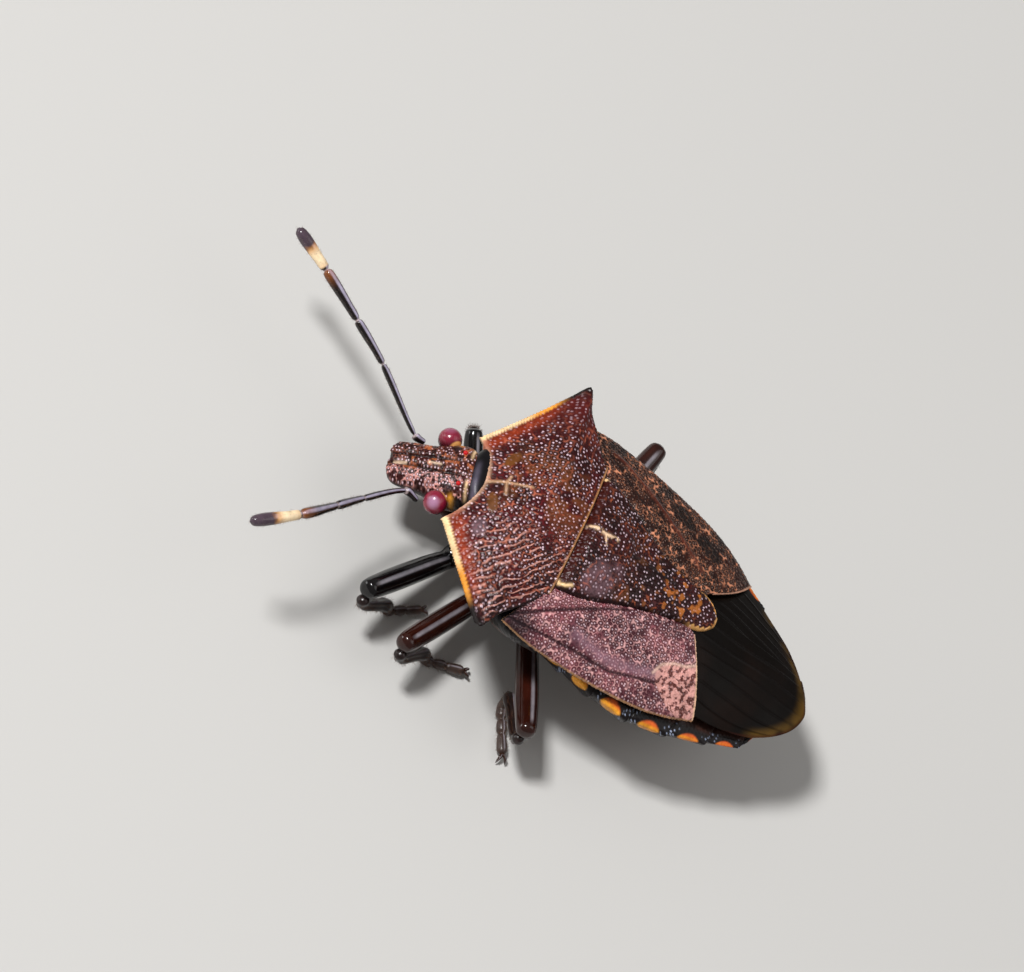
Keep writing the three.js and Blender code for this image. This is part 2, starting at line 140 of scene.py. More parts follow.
def pits(x, y, spacing, seed, loose=0.5):
    # Distance in cells to the nearest and next scattered pit, with a chance for each pit.
    gx, gy = x / spacing, y / spacing
    ix, iy = np.floor(gx), np.floor(gy)
    first = np.full(x.shape, 9.0)
    second = np.full(x.shape, 9.0)
    pick = np.zeros(x.shape)
    for dj in (-1, 0, 1):
        for di in (-1, 0, 1):
            cx, cy = ix + di, iy + dj
            px = cx + 0.25 + 0.5 * np.mod(cy, 2) + loose * (chance(cx, cy, seed) - 0.5)
            py = cy + 0.5 + loose * (chance(cx, cy, seed + 3) - 0.5)
            away = np.hypot(px - gx, py - gy)
            nearer = away < first
            second = np.where(nearer, first, np.minimum(second, away))
            pick = np.where(nearer, chance(cx, cy, seed + 7), pick)
            first = np.minimum(first, away)
    return first, second, pick


def bell(away, width):
    # Bell curve of a distance, one at zero and about a third at the width.
    return np.exp(-((away / width) ** 2))


def spot(x, y, cx, cy, rx, ry, turn=0.0):
    # Soft oval mask, one in the middle and zero outside.
    c, s = math.cos(math.radians(turn)), math.sin(math.radians(turn))
    dx, dy = x - cx, y - cy
    r = np.hypot((dx * c + dy * s) / rx, (dy * c - dx * s) / ry)
    return 1 - smooth(0.7, 1.15, r)


def line(x, y, points, width):
    # Soft mask along a row of points: the distance to the nearest stretch over the width.
    best = np.full(np.shape(x), 1e9)
    for (x0, y0), (x1, y1) in zip(points[:-1], points[1:]):
        dx, dy = x1 - x0, y1 - y0
        t = np.clip(((x - x0) * dx + (y - y0) * dy) / (dx * dx + dy * dy), 0, 1)
        best = np.minimum(best, np.hypot(x - x0 - t * dx, y - y0 - t * dy))
    return bell(best, width)


def grid(rows, columns, left=0.0, right=1.0):
    # A place from 0 to 1 down the rows, and one from left to right along the columns.
    return np.meshgrid(np.linspace(0, 1, rows), np.linspace(left, right, columns), indexing="ij")


def ringGrid(start, end, rows, count):
    # A place along the axis and the angle round it, for rings that close on themselves.
    return np.meshgrid(np.linspace(start, end, rows), np.linspace(0, 2 * math.pi, count, endpoint=False),
                       indexing="ij")


def roundOff(inward, reach):
    # Quarter circle, one at an edge and zero from the reach inwards.
    edge = np.minimum(inward, reach) / reach
    return 1 - np.sqrt(1 - (1 - edge) ** 2)


def unit(vectors):
    # The same directions, one unit long.
    return vectors / (np.linalg.norm(vectors, axis=-1, keepdims=True) + 1e-12)


def gridNormals(points):
    # Cross product of a grid's two differences, one unit long.
    across = np.gradient(points, axis=1)
    along = np.gradient(points, axis=0)
    return unit(np.cross(across, along))


def ringNormals(rings):
    # The same for closed rings, whose first and last points are neighbours.
    around = np.roll(rings, -1, axis=1) - np.roll(rings, 1, axis=1)
    along = np.gradient(rings, axis=0)
    n = unit(np.cross(around, along))
    middle = rings.mean(axis=1, keepdims=True)
    return n * np.sign(((rings - middle) * n).sum())


def raised(rings, height):
    # The rings moved out along their normals.
    return rings + ringNormals(rings) * height[..., None]


def putPiece(name, points, loops, starts, tint, rough, node, material):
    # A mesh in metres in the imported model's frame, from its faces' corners and where each face starts.
    mesh = bpy.data.meshes.new(name)
    mesh.vertices.add(len(points))
    mesh.loops.add(len(loops))
    mesh.polygons.add(len(starts))
    mesh.vertices.foreach_set("co", ((points + shift) * 0.001).astype(np.float32).ravel())
    mesh.loops.foreach_set("vertex_index", loops.astype(np.int32))
    mesh.polygons.foreach_set("loop_start", starts.astype(np.int32))
    mesh.polygons.foreach_set("use_smooth", np.ones(len(starts), bool))
    mesh.update(calc_edges=True)
    mesh.validate()
    rgba = np.ones((len(points), 4), np.float32)
    rgba[:, :3] = np.clip(tint, 0, 1)
    mesh.attributes.new("tint", "FLOAT_COLOR", "POINT").data.foreach_set("color", rgba.ravel())
    share = np.clip(rough, 0.02, 1).astype(np.float32)
    mesh.attributes.new("rough", "FLOAT", "POINT").data.foreach_set("value", share)
    mesh.materials.append(material)
    piece = bpy.data.objects.new(name, mesh)
    bpy.context.scene.collection.objects.link(piece)
    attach(piece, "root")
    if node:
        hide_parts(node)


def tube(name, rings, tint, rough, node, material):
    # One closed skin over rings, with a flat cap at both ends, turned so that it encloses volume.
    rows, count = rings.shape[:2]
    p = rings.reshape(-1, 3)
    j, i = np.meshgrid(np.arange(rows - 1), np.arange(count), indexing="ij")
    a, b = j * count + i, j * count + (i + 1) % count
    quads = np.stack([a, b, b + count, a + count], axis=-1).reshape(-1, 4)
    caps = [np.arange(count)[::-1], np.arange(count) + (rows - 1) * count]
    volume = sum(np.einsum("ij,ij->i", p[quads[:, 0]], np.cross(p[quads[:, k]], p[quads[:, k + 1]])).sum()
                 for k in (1, 2))
    if volume < 0:
        quads, caps = quads[:, ::-1], [cap[::-1] for cap in caps]
    starts = np.append(np.arange(len(quads)) * 4, len(quads) * 4 + np.array([0, count]))
    putPiece(name, p, np.concatenate([quads.ravel(), *caps]), starts, tint.reshape(-1, 3), np.ravel(rough),
             node, material)


def plateShell(name, base, height, thick, tint, rough, under, node, material, step=6):
    # Top grid raised along its normal, a coarser underside, and walls between them.
    n = gridNormals(base)
    n *= np.sign(n[..., 2].sum())
    pick = np.arange(base.shape[1] - 2, 0, -step)
    low = (base - n * thick[..., None])[:, pick]
    tube(name, np.concatenate([base + n * height[..., None], low], axis=1),
         np.concatenate([tint, plain(under, low[..., 0])], axis=1),
         np.concatenate([rough, np.full(low.shape[:2], 0.5)], axis=1), node, material)


def shellMaterial(name, grain=0.012, coat=0.0, variation=0.25, gloss=0.28):
    # Colour and roughness from the piece's own attributes, with fine noise in colour and bump.
    made = bpy.data.materials.new(name)
    made.use_nodes = True
    nodes, links = made.node_tree.nodes, made.node_tree.links
    shader = nodes["Principled BSDF"]
    tint, rough, place, noise, spread, tone, bump = (
        nodes.new(f"ShaderNode{kind}")
        for kind in ("Attribute", "Attribute", "TexCoord", "TexNoise", "MapRange", "VectorMath", "Bump"))
    tint.attribute_name, rough.attribute_name, tone.operation = "tint", "rough", "SCALE"
    values = {noise: {"Scale": 3600, "Detail": 3},
              spread: {"From Min": 0.3, "From Max": 0.7, "To Min": 1 - variation, "To Max": 1 + variation},
              bump: {"Strength": 0.6, "Distance": grain * 0.001},
              shader: {"Coat Weight": coat, "Coat Roughness": 0.12, "Specular IOR Level": gloss}}
    for node, sockets in values.items():
        for socket, value in sockets.items():
            node.inputs[socket].default_value = value
    for source, output, target, socket in (
            (place, "Object", noise, "Vector"), (noise, "Fac", spread, "Value"), (tint, "Color", tone, 0),
            (spread, "Result", tone, "Scale"), (tone, "Vector", shader, "Base Color"),
            (rough, "Fac", shader, "Roughness"), (noise, "Fac", bump, "Height"),
            (bump, "Normal", shader, "Normal")):
        links.new(source.outputs[output], target.inputs[socket])
    return made


backMaterial = shellMaterial("pittedShell")
wingMaterial = shellMaterial("wingShell")
filmMaterial = shellMaterial("smokyFilm", grain=0.006, variation=0.15, gloss=0.12)
legMaterial = shellMaterial("polishedLeg", grain=0.008, variation=0.2, gloss=0.5)
feelerMaterial = shellMaterial("feelerHorn", grain=0.008, variation=0.2, gloss=0.5)
bellyMaterial = shellMaterial("bellyShell")
eyeMaterial = shellMaterial("facetedEye", grain=0.004, variation=0.1, coat=0.4, gloss=0.5)
hairMaterial = shellMaterial("paleHair", grain=0.002, variation=0.1)

# Shared lines of the body, the same as in the solids.
scutellumSide = [(1.3, 2.08), (2.0, 1.92), (2.6, 1.7), (3.2, 1.38), (3.7, 1.14), (4.45, 0.87), (5.25, 0.68),
                 (5.8, 0.57), (6.1, 0.42), (6.34, 0.12)]
ridgeLine = [(-1.9, 3.92), (-1.0, 4.34), (0, 4.75), (1.3, 4.98), (2.5, 4.92), (4.4, 4.68), (6.2, 4.46),
             (8, 4.08), (10.3, 3.6)]
wingSide = [(0.6, 3.55), (1.5, 3.66), (2.8, 3.62), (4.3, 3.46), (5.5, 3.22), (6.4, 2.88), (7.2, 2.46),
            (8.14, 2.2), (8.8, 1.86), (9.3, 1.52), (9.8, 1.12), (10.1, 0.76), (10.3, 0.3)]
wingSideHeight = [(0.6, 4.15), (2.8, 4.02), (5.5, 3.92), (7.2, 3.8), (8.8, 3.56), (10.3, 3.5)]


def lean(y):
    # The tongue leans a little to the insect's right towards its tip.
    return -0.25 * smooth(3.2, 6.2, y)


def backHeight(x, y):
    # An arch across the body, from the ridge line down to the wing's edge.
    across = np.minimum(1, np.abs(x) / profile(wingSide, y))
    return mix(profile(ridgeLine, y), profile(wingSideHeight, y), across ** 2.2)


def pittedCoat(x, y, look):
    # Round pits, most with a small raised bead painted pale as a highlight (a painted glint), dark walls, and
    # wavy tan ridges where a noise is near its middle.
    seed, ridgeFrom = look["seed"], look["ridgeFrom"]
    first, second, pick = pits(x + 0.05 * cloud(x, y, 0.5, 5), y, look["spacing"], seed, loose=0.75)
    size = look["pit"] * (0.8 + 0.4 * pick)
    hollow = bell(first, size)
    border = 1 - smooth(0.0, look["ridgeWidth"], second - first)
    patch = smooth(ridgeFrom, ridgeFrom + 0.22, cloud(x, y, look["patchSize"], seed + 11))
    worm = bell(cloud(x + 3, y, look["worm"], seed + 31) - 0.5, look["wormWidth"])
    worm = worm * smooth(ridgeFrom - 0.25, ridgeFrom + 0.1, cloud(x, y, look["patchSize"], seed + 12))
    ridges = np.maximum(border * patch * 0.6, worm) * smooth(0.3, 0.5, first)
    # grain is the mask of the painted glint: a pale highlight painted on the small bead in each pit, which
    # also rises a little and is smoother.
    grain = (1 - smooth(look["grain"] * 0.55, look["grain"], first)) * (pick > look["bare"])
    colour = layered(plain(look["base"], x), [
        (look["deep"], smooth(0.3, 0.7, cloud(x, y, 0.7, seed + 2))),
        (look["ridge"], ridges * look["ridgeShare"]), (look["wall"], bell(first - size, 0.18) * 0.8),
        (look["glint"], grain * (0.25 + 0.75 * pick) * look["glintShare"])])
    height = -look["depth"] * hollow + look["rise"] * ridges + look["bead"] * grain
    rough = look["rough"] + 0.12 * ridges - 0.12 * grain
    return height, colour, rough


# Pronotum: the shield behind the head.
pronotumLook = {"spacing": 0.135, "pit": 0.42, "depth": 0.024, "rise": 0.012, "bead": 0.014, "grain": 0.25,
                "bare": 0.2, "worm": 0.24, "wormWidth": 0.07,
                "ridgeWidth": 0.3, "ridgeFrom": 0.45, "patchSize": 0.6, "ridgeShare": 0.9, "seed": 1,
                "base": "#5a1418", "deep": "#30080a", "ridge": "#c0684e", "wall": "#1a0405",
                "glint": "#f5d9e6", "glintShare": 0.88, "rough": 0.34,
                "margin": "#f9d9a8", "amber": "#ea9a35", "tip": "#120808", "collar": "#d6a98c",
                "paintedCrestHighlight": "#d79a8c", "paintedTroughShade": "#3a0f0c", "gold": "#94562a", "redSide": "#5a1510",
                "scar": "#6b3f18", "cross": "#d3a57f", "paintedSheen": "#8d7480", "flush": "#a53a14",
                "lip": "#b78352", "paintedLipShadow": "#2a0c08", "under": "#2a1510",
                "wrinkleSpacing": 0.19, "marginBeads": 52}
pronotumX = [(0, 1.48), (0.2, 2.3), (0.4, 3.15), (0.53, 3.95), (0.6, 4.38), (0.68, 3.78), (0.8, 3.15),
             (0.9, 2.66), (1, 2.3)]
pronotumY = [(0, -2.01), (0.2, -1.42), (0.4, -0.84), (0.53, -0.33), (0.6, 0), (0.68, 0.3), (0.8, 0.78),
             (0.9, 1.12), (1, 1.4)]
pronotumZ = [(0, 3.5), (0.2, 3.7), (0.4, 3.96), (0.53, 4.24), (0.6, 4.49), (0.68, 4.46), (0.8, 4.5),
             (0.9, 4.56), (1, 4.66)]


def makePronotum(rows=204, columns=408):
    # Grid from the front margin to the rear one, each row arched from side to side.
    look = pronotumLook
    v, across = grid(rows, columns, -1.0)
    far = np.abs(across)
    sideX, sideY, sideZ = profile(pronotumX, v), profile(pronotumY, v), profile(pronotumZ, v)
    middle = mix(-1.5, 1.36, v)
    x = across * sideX
    y = mix(middle, sideY, far ** 1.8)
    z = mix(profile(ridgeLine, middle) - 0.16 * smooth(0.14, 0, v), sideZ, far ** 1.9)
    height, colour, rough = pittedCoat(x, y, look)
    inward = sideX * (1 - far)                                  # distance in from the side
    front = (y - mix(-1.5, -2.01, far ** 1.8)) * (v < 0.5) + 9 * (v >= 0.5)
    # Wavy wrinkles over the left rear half, running back towards the middle.
    wave = np.sin((0.64 * x + 0.77 * y + 0.26 * cloud(x, y, 0.35, 31)) * 2 * math.pi / look["wrinkleSpacing"])
    wrinkle = smooth(0.5, 1.3, x) * smooth(-1.1, -0.4, y + 0.1 * x) * smooth(0.12, 0.35, inward)
    wrinkle = wrinkle * smooth(0.36, 0.5, cloud(x, y, 0.2, 33))
    height = height + 0.026 * wave * wrinkle
    # The pale colour on the wrinkles' crests is a painted highlight, and the dark colour in their troughs is
    # painted shade.
    paintedCrestHighlight = smooth(0.45, 0.95, wave) * wrinkle
    # Golden ground in the middle and on the right, dark red beside the right margin.
    gold = smooth(0.4, 0.65, cloud(x, y, 0.3, 35)) * smooth(1.6, 0.4, np.abs(x + 0.5)) * smooth(-1.4, -0.6, y)
    # Two smooth scars behind the head, and the pale cross between them.
    scar = np.maximum(spot(x, y, -1.0, -1.13, 0.36, 0.15, -20), spot(x, y, 0.6, -1.15, 0.34, 0.15, 20))
    height = mix(height, 0.01, scar)
    stem = [(-0.02, -1.5), (-0.07, -1.37), (-0.15, -1.09), (-0.23, -0.8), (-0.33, -0.38)]
    bar = [(-0.4, -1.0), (-0.15, -1.05), (0.2, -0.95)]
    cross = np.maximum(line(x, y, stem, 0.045), line(x, y, bar, 0.04))
    height = height + 0.012 * cross
    # Smooth swelling near the left front corner, with a grey painted sheen on it.
    boss = spot(x, y, 1.45, -1.15, 0.3, 0.2, 20)
    height = mix(height, 0.02, boss * 0.7)
    # Pale collar, orange-red zone and the beaded cream side margin, dark towards the shoulder tip.
    collar = bell(front, 0.055)
    height = height + 0.02 * collar
    lateral = v < 0.6
    flush = bell(inward - 0.26, 0.2) * lateral * smooth(0.56, 0.35, v)
    bead = 0.5 + 0.5 * np.sin(v * 2 * math.pi * look["marginBeads"])
    rim = (1 - smooth(0.07, 0.15, inward + 0.03 * bead)) * lateral
    cream = paint(plain(look["margin"], x), look["amber"],
                  smooth(0.24, 0.42, v) + 0.35 * cloud(x, y, 0.3, 8))
    cream = paint(cream, look["tip"], smooth(0.44, 0.53, v))
    height = height * (1 - rim) + rim * (0.03 + 0.03 * bead * smooth(0.62, 0.3, v))
    hind = (1 - smooth(0.06, 0.12, inward)) * (v >= 0.6)
    # The raised pale rear lip; the dark band painted just in front of it is a painted shadow under the lip.
    lip = smooth(0.972, 0.984, v) * (far < 0.985)
    height = height * (1 - lip) + 0.022 * lip
    # The edges round off downwards.
    z = z - 0.1 * roundOff(inward, 0.16) * (0.4 + 0.6 * (v < 0.58))
    z = z - 0.07 * smooth(0.985, 1.0, v) - 0.06 * smooth(0.02, 0.0, v)
    colour = layered(colour, [
        (look["paintedCrestHighlight"], paintedCrestHighlight * 0.7), (look["paintedTroughShade"], smooth(-0.4, -0.95, wave) * wrinkle * 0.6),
        (look["gold"], gold * 0.3), (look["redSide"], smooth(-2.0, -3.2, x) * 0.5),
        (look["scar"], scar * 0.85), (look["cross"], cross * 0.75), (look["paintedSheen"], boss * 0.3),
        (look["collar"], collar * 0.85), (look["flush"], flush * 0.6), (cream, rim),
        (look["tip"], hind * 0.9), (look["tip"], smooth(3.75, 4.3, np.abs(x)) * 0.8),
        (look["lip"], lip * (0.6 + 0.35 * cloud(x, y, 0.25, 17))),
        (look["paintedLipShadow"], bell(v - 0.955, 0.012) * 0.6)])
    base = np.stack([x, y, z], axis=-1)
    thick = 0.2 + 0.1 * (1 - far ** 4)
    plateShell("pronotumShield", base, height, thick, colour, rough + 0.1 * rim, look["under"],
               "pronotum", backMaterial)


makePronotum()
print("pronotum")

# Scutellum: the long tongue between the wings.
scutellumLook = dict(pronotumLook, seed=21, ridgeFrom=0.55, patchSize=0.5, base="#421214", deep="#240708",
                     ridge="#a85634", glintShare=0.75, bare=0.25, furrow="#180809", foot="#3a0f0a",
                     paintedSheen="#96707a", corner="#f6cf9a", mark="#f5cfa8", freckle="#c0702c", rim="#eab06a",
                     side="#1a0a0a")


def makeScutellum(rows=330, columns=256):
    # Rows of an arched cross-section whose half width follows the tongue's outline.
    look = scutellumLook
    v, across = grid(rows, columns, -1.0)
    far = np.abs(across)
    y = mix(1.3, 6.34, 1 - (1 - v) ** 1.08)
    width = profile(scutellumSide, y)
    x = across * width
    z = profile(ridgeLine, y) + 0.04 - 0.22 * (np.abs(x) / 2.1) ** 2 - 0.06 * across ** 4
    z = z - 0.16 * smooth(1.62, 1.36, y)
    x = x + lean(y)
    height, colour, rough = pittedCoat(x, y, look)
    inward = width * (1 - far)
    toTip = 6.34 - y
    # Raised swelling of the fore half, its hollow, and the smooth dark furrow towards the tongue.
    hollow = spot(x, y, -0.7, 3.6, 0.34, 0.75, 8)
    z = z + 0.1 * spot(x, y, 0.0, 2.3, 1.2, 0.8) - 0.07 * hollow
    furrow = line(x, y, [(-0.2, 3.1), (-0.31, 3.9), (-0.37, 4.65)], 0.1)
    height = height * (1 - 0.7 * furrow) - 0.02 * furrow
    # Grey-purple painted sheen on the left of the base.
    paintedSheen = spot(x, y, 1.0, 2.5, 0.8, 0.5, -30) * smooth(0.35, 0.6, cloud(x, y, 0.5, 4))
    # Cream marks: the basal corners, the broken mark in the middle and the rim of the tip.
    ragged = smooth(0.3, 0.45, cloud(x, y, 0.13, 9))
    corner = np.maximum(line(x, y, [(1.78, 1.38), (1.9, 1.48), (1.88, 1.64), (1.76, 1.8)], 0.05),
                        spot(x, y, -1.94, 1.5, 0.1, 0.12, -20) * ragged)
    mark = np.maximum(line(x, y, [(-0.08, 1.5), (-0.14, 1.75), (-0.12, 2.0), (-0.22, 2.38)], 0.06),
                      line(x, y, [(-0.12, 2.0), (0.15, 2.12)], 0.04)) * ragged
    height = height * (1 - np.maximum(corner, mark)) + 0.008 * corner + 0.02 * mark
    freckle = smooth(0.6, 0.72, cloud(x, y, 0.2, 14)) * smooth(2.6, 5.4, y)
    rimWidth = 0.05 + 0.025 * np.sin(y * 40)
    rim = np.maximum(1 - smooth(rimWidth, rimWidth + 0.05, inward), smooth(0.1, 0.04, toTip))
    rim = rim * smooth(5.3, 5.8, y)
    height = height * (1 - rim) + 0.02 * rim
    side = (1 - smooth(0.05, 0.11, inward)) * smooth(5.7, 5.3, y)
    z = z - 0.13 * roundOff(np.minimum(inward, toTip), 0.14)
    colour = layered(colour, [
        (look["furrow"], furrow * 0.85), (look["foot"], smooth(1.75, 1.55, y) * 0.75),
        (look["paintedSheen"], paintedSheen * 0.3), (look["corner"], corner), (look["mark"], mark * 0.95),
        (look["freckle"], freckle * 0.7), (look["rim"], rim * 0.9), (look["side"], side * 0.8)])
    base = np.stack([x, y, z], axis=-1)
    plateShell("scutellumTongue", base, height, np.full(x.shape, 0.24), colour, rough, look["under"],
               "scutellum", backMaterial)


makeScutellum()
print("scutellum")

# Leathery fore wings.
leatherLook = dict(pronotumLook, spacing=0.12, pit=0.4, depth=0.018, ridgeShare=0.95, rough=0.36,
                   under="#2b1714")
# The left wing's pinker, paler colours and stronger glints are partly its own colour and partly painted
# sheen; the right wing's darker colours are partly its own colour and partly painted shade.
wingLook = {
    "left": dict(leatherLook, seed=41, grain=0.24, ridgeFrom=0.35, patchSize=0.3, worm=0.2, wormWidth=0.09,
                 base="#a05c64", deep="#562832", ridge="#f2b8b6", wall="#38121a", glint="#ffe2ea",
                 glintShare=0.7, bulge=0.03, strip="#8a6472", groove="#2b1018", shoulder="#150d12",
                 pale="#eaaba0", blotch="#5a2a1c", outline="#f0c8b4", hind="#e2b796", costal="#b9895c"),
    "right": dict(leatherLook, seed=43, grain=0.22, ridgeFrom=0.42, patchSize=0.35, worm=0.36,
                  wormWidth=0.075, base="#361309", deep="#1c0805", ridge="#e39672", wall="#1a0906",
                  glint="#e8c0ae", glintShare=0.3, bulge=0.16, dark="#0f0706", vein="#5f2a1c",
                  seam="#170806", hind="#b98a72", costal="#3a1a12")}


def makeCorium(side, rows=330, columns=230):
    # Ruled between the scutellum's side and the wing's outer edge, arched with the back.
    look = wingLook[side]
    sign = 1 if side == "left" else -1
    v, u = grid(rows, columns)
    innerY = mix(1.35, 5.88, v)
    innerSide = profile(scutellumSide, innerY) + sign * lean(innerY)
    innerX = innerSide - 0.1 + 0.3 * smooth(0.93, 1.0, v)
    outerY = mix(0.62, 7.15, v ** 1.05)
    outerX = profile(wingSide, outerY)
    x = mix(innerX, outerX, u)
    y = mix(innerY, outerY, u) + look["bulge"] * np.sin(math.pi * u) * smooth(0.75, 1, v)
    z = backHeight(x, y) - 0.02
    gap = x - profile(scutellumSide, np.minimum(y, 6.3)) - sign * lean(y)
    z = z - 0.12 * bell(np.maximum(gap + 0.05, 0), 0.14) * (y < 6.3)
    height, colour, rough = pittedCoat(x * sign, y, look)
    if side == "left":
        # Claval seam, long groove with the smooth purple-grey strip inside it, and the dark shoulder.
        seam = line(x, y, [(3.35, 0.7), (3.17, 0.94), (2.09, 2.46), (1.2, 3.7)], 0.05)
        track = line(x, y, [(3.42, 0.7), (3.38, 1.18), (3.1, 3.12), (3.0, 4.07), (2.55, 5.2), (2.35, 5.7)],
                     0.045)
        seamAndTrack = np.maximum(seam, track)
        strip = line(x, y, [(2.75, 2.6), (2.8, 3.9), (2.5, 4.75), (2.2, 5.4)], 0.17) * smooth(2.0, 2.8, y)
        height = height * (1 - 0.8 * strip) + 0.02 * strip
        height = height * (1 - seamAndTrack) - 0.045 * seamAndTrack
        shoulder = smooth(2.0, 1.0, y) * smooth(2.9, 3.4, x)
        patchFront = [(0.9, 6.6), (1.27, 6.36), (1.48, 6.11), (1.64, 5.72), (1.91, 5.39), (2.21, 5.3),
                      (2.5, 5.6), (2.8, 6.3)]
        patch = smooth(-0.05, 0.1, y - profile(patchFront, x)) * (x < 2.75)
        blotch = smooth(0.36, 0.5, cloud(x, y, 0.085, 51))
        outline = line(x, y, [(1.2, 6.4), (1.48, 6.08), (1.64, 5.7), (1.91, 5.37), (2.25, 5.25)], 0.045)
        layers = [
            (look["strip"], strip * 0.65), (look["groove"], seamAndTrack * 0.9),
            (look["shoulder"], shoulder * 0.85), (look["pale"], patch * blotch * 0.75),
            (look["blotch"], patch * (1 - blotch) * 0.7), (look["outline"], outline * 0.7)]
    else:
        # Raised red-brown vein along the middle, the claval seam inside it and two dark patches outside it.
        vein = line(x, y, [(3.05, 1.5), (3.0, 1.9), (2.55, 3.1), (1.97, 4.28), (1.41, 5.29)], 0.08)
        seam = line(x, y, [(2.95, 1.3), (2.69, 1.76), (2.1, 2.8), (1.5, 3.9)], 0.045)
        dark = np.maximum(spot(x, y, 2.75, 4.2, 0.3, 0.55, 10), spot(x, y, 2.3, 5.3, 0.28, 0.6, 20))
        height = height * (1 - 0.8 * vein) + 0.025 * vein - 0.03 * seam
        layers = [
            (look["dark"], dark * 0.85), (look["vein"], vein * 0.8), (look["seam"], seam * 0.85)]
    z = z - 0.12 * roundOff((1 - u) * (outerX - innerX), 0.15)
    colour = layered(colour, layers + [
        (look["hind"], smooth(0.988, 0.996, v) * 0.9), (look["costal"], smooth(0.985, 0.995, u) * 0.8)])
    base = np.stack([x * sign, y, z], axis=-1)
    thick = 0.16 - 0.08 * smooth(0.85, 1, v)
    plateShell(f"leatheryWing_{side}", base, height, thick, colour, rough, look["under"],
               f"corium_{side}", wingMaterial)


makeCorium("left")
makeCorium("right")
print("leathery wings")

# Glassy ends of the wings, the left over the right.
filmLook = {"dark": "#080402", "brown": "#160a05", "window": "#5e4417", "vein": "#070302", "rough": 0.34,
            "edge": "#3a1208", "under": "#150c08", "thick": 0.05,
            "veinPlaces": (0.12, 0.27, 0.42, 0.57, 0.72, 0.87)}
filmEdge = [(0, 2.36), (0.3, 2.22), (0.6, 1.95), (0.85, 1.66), (1, 1.4)]


def coriumRear(x):
    # Rear line of the leathery parts, on either side of the leaning tongue.
    side = np.where(x > -0.25, 1.0, -1.0)
    inner = side * 0.63 - 0.25
    u = np.clip((x - inner) / (side * 2.46 - inner), 0, 1)
    return mix(5.88, 7.15, u) + np.where(side > 0, 0.03, 0.16) * np.sin(math.pi * u)


def makeFilm(name, leftSide, rightSide, lower, node, rows=150, columns=150):
    # Ruled from under the leathery part to the rounded end, with its long veins raised.
    look = filmLook
    v, u = grid(rows, columns)
    left, right = leftSide(v), rightSide(v)
    x = mix(right, left, u)
    startX = mix(rightSide(np.zeros(1)), leftSide(np.zeros(1)), u)
    endX = mix(rightSide(np.ones(1)), leftSide(np.ones(1)), u)
    y = mix(coriumRear(startX) - 0.22, 10.3 - 1.15 * (endX / 1.55) ** 2, v)
    z = backHeight(x, y) - 0.1 - 0.06 * smooth(0.12, 0.0, v) - lower
    z = z - 0.03 * np.sin(y * 2.1 + x * 1.3) * smooth(0.2, 0.5, v)
    veins = np.zeros(x.shape)
    for k, place in enumerate(look["veinPlaces"]):
        veins = np.maximum(veins, bell(u - place - 0.02 * np.sin(v * 5 + k), 0.012))
    veins = veins * smooth(1.0, 0.85, v) * smooth(0.05, 0.12, v)
    toEdge = np.minimum(np.abs(profile(wingSide, y) - np.abs(x)), np.maximum(10.3 - 0.5 * x * x - y, 0))
    window = smooth(0.5, 0.1, toEdge) * smooth(0.3, 0.6, cloud(x, y, 0.5, 63)) * smooth(7.6, 8.3, y)
    window = window * np.maximum(x < 0, smooth(8.6, 9.2, y))
    colour = layered(plain(look["dark"], x), [
        (look["brown"], smooth(0.35, 0.8, cloud(x, y, 0.9, 61)) * 0.7), (look["window"], window * 0.8),
        (look["edge"], smooth(0.12, 0.02, toEdge) * 0.5), (look["vein"], veins * 0.6)])
    base = np.stack([x, y, z], axis=-1)
    rough = look["rough"] + 0.12 * cloud(x, y, 0.4, 65)
    plateShell(name, base, 0.014 * veins, np.full(x.shape, look["thick"]), colour, rough, look["under"],
               node, filmMaterial, step=3)


def overlapLine(v):
    return mix(-0.55, -0.98, v)


makeFilm("glassyWing_left", lambda v: profile(filmEdge, v), overlapLine, 0.0, "membrane_left")
makeFilm("glassyWing_right", lambda v: overlapLine(v) + 0.5, lambda v: -profile(filmEdge, v), 0.06,
         "membrane_right")
print("glassy wings")

# Belly: thorax and abdomen with the banded edge that shows beside the wings.
bellyLook = {"base": "#3a211a", "pale": "#7a4f34", "band": "#0b080a", "glint": "#b4c0dc",
             "front": "#f5a531", "rear": "#d9431c", "rough": 0.34, "spiracle": "#0d0807", "pit": "#120a08",
             "upper": "#0e090a"}
segmentEnds = [3.2, 4.2, 5.5, 6.8, 8.03, 9.05]
abdomenSide = [(1.2, 3.1), (2.4, 3.16), (3.2, 3.26), (4.2, 3.42), (5.5, 3.42), (6.8, 3.02), (8.03, 2.42),
               (9.05, 1.78), (9.35, 1.2)]
abdomenRim = [(2.4, 3.35), (5.5, 3.32), (7.2, 3.22), (9.35, 3.05)]
abdomenTop = [(2.4, 4.0), (5.5, 3.74), (7.2, 3.45), (8.3, 3.28), (9.35, 3.1)]
abdomenKeel = [(2.4, 1.2), (5, 1.25), (7.5, 1.6), (9.35, 2.4)]


def bodyRing(a, rim, top, keel):
    # Height round a ring, arched from the rim up to the top and, more sharply, down to the keel.
    lift = np.abs(np.sin(a))
    return np.where(np.sin(a) > 0, rim + (top - rim) * lift ** 0.9, rim - (rim - keel) * lift ** 1.35)


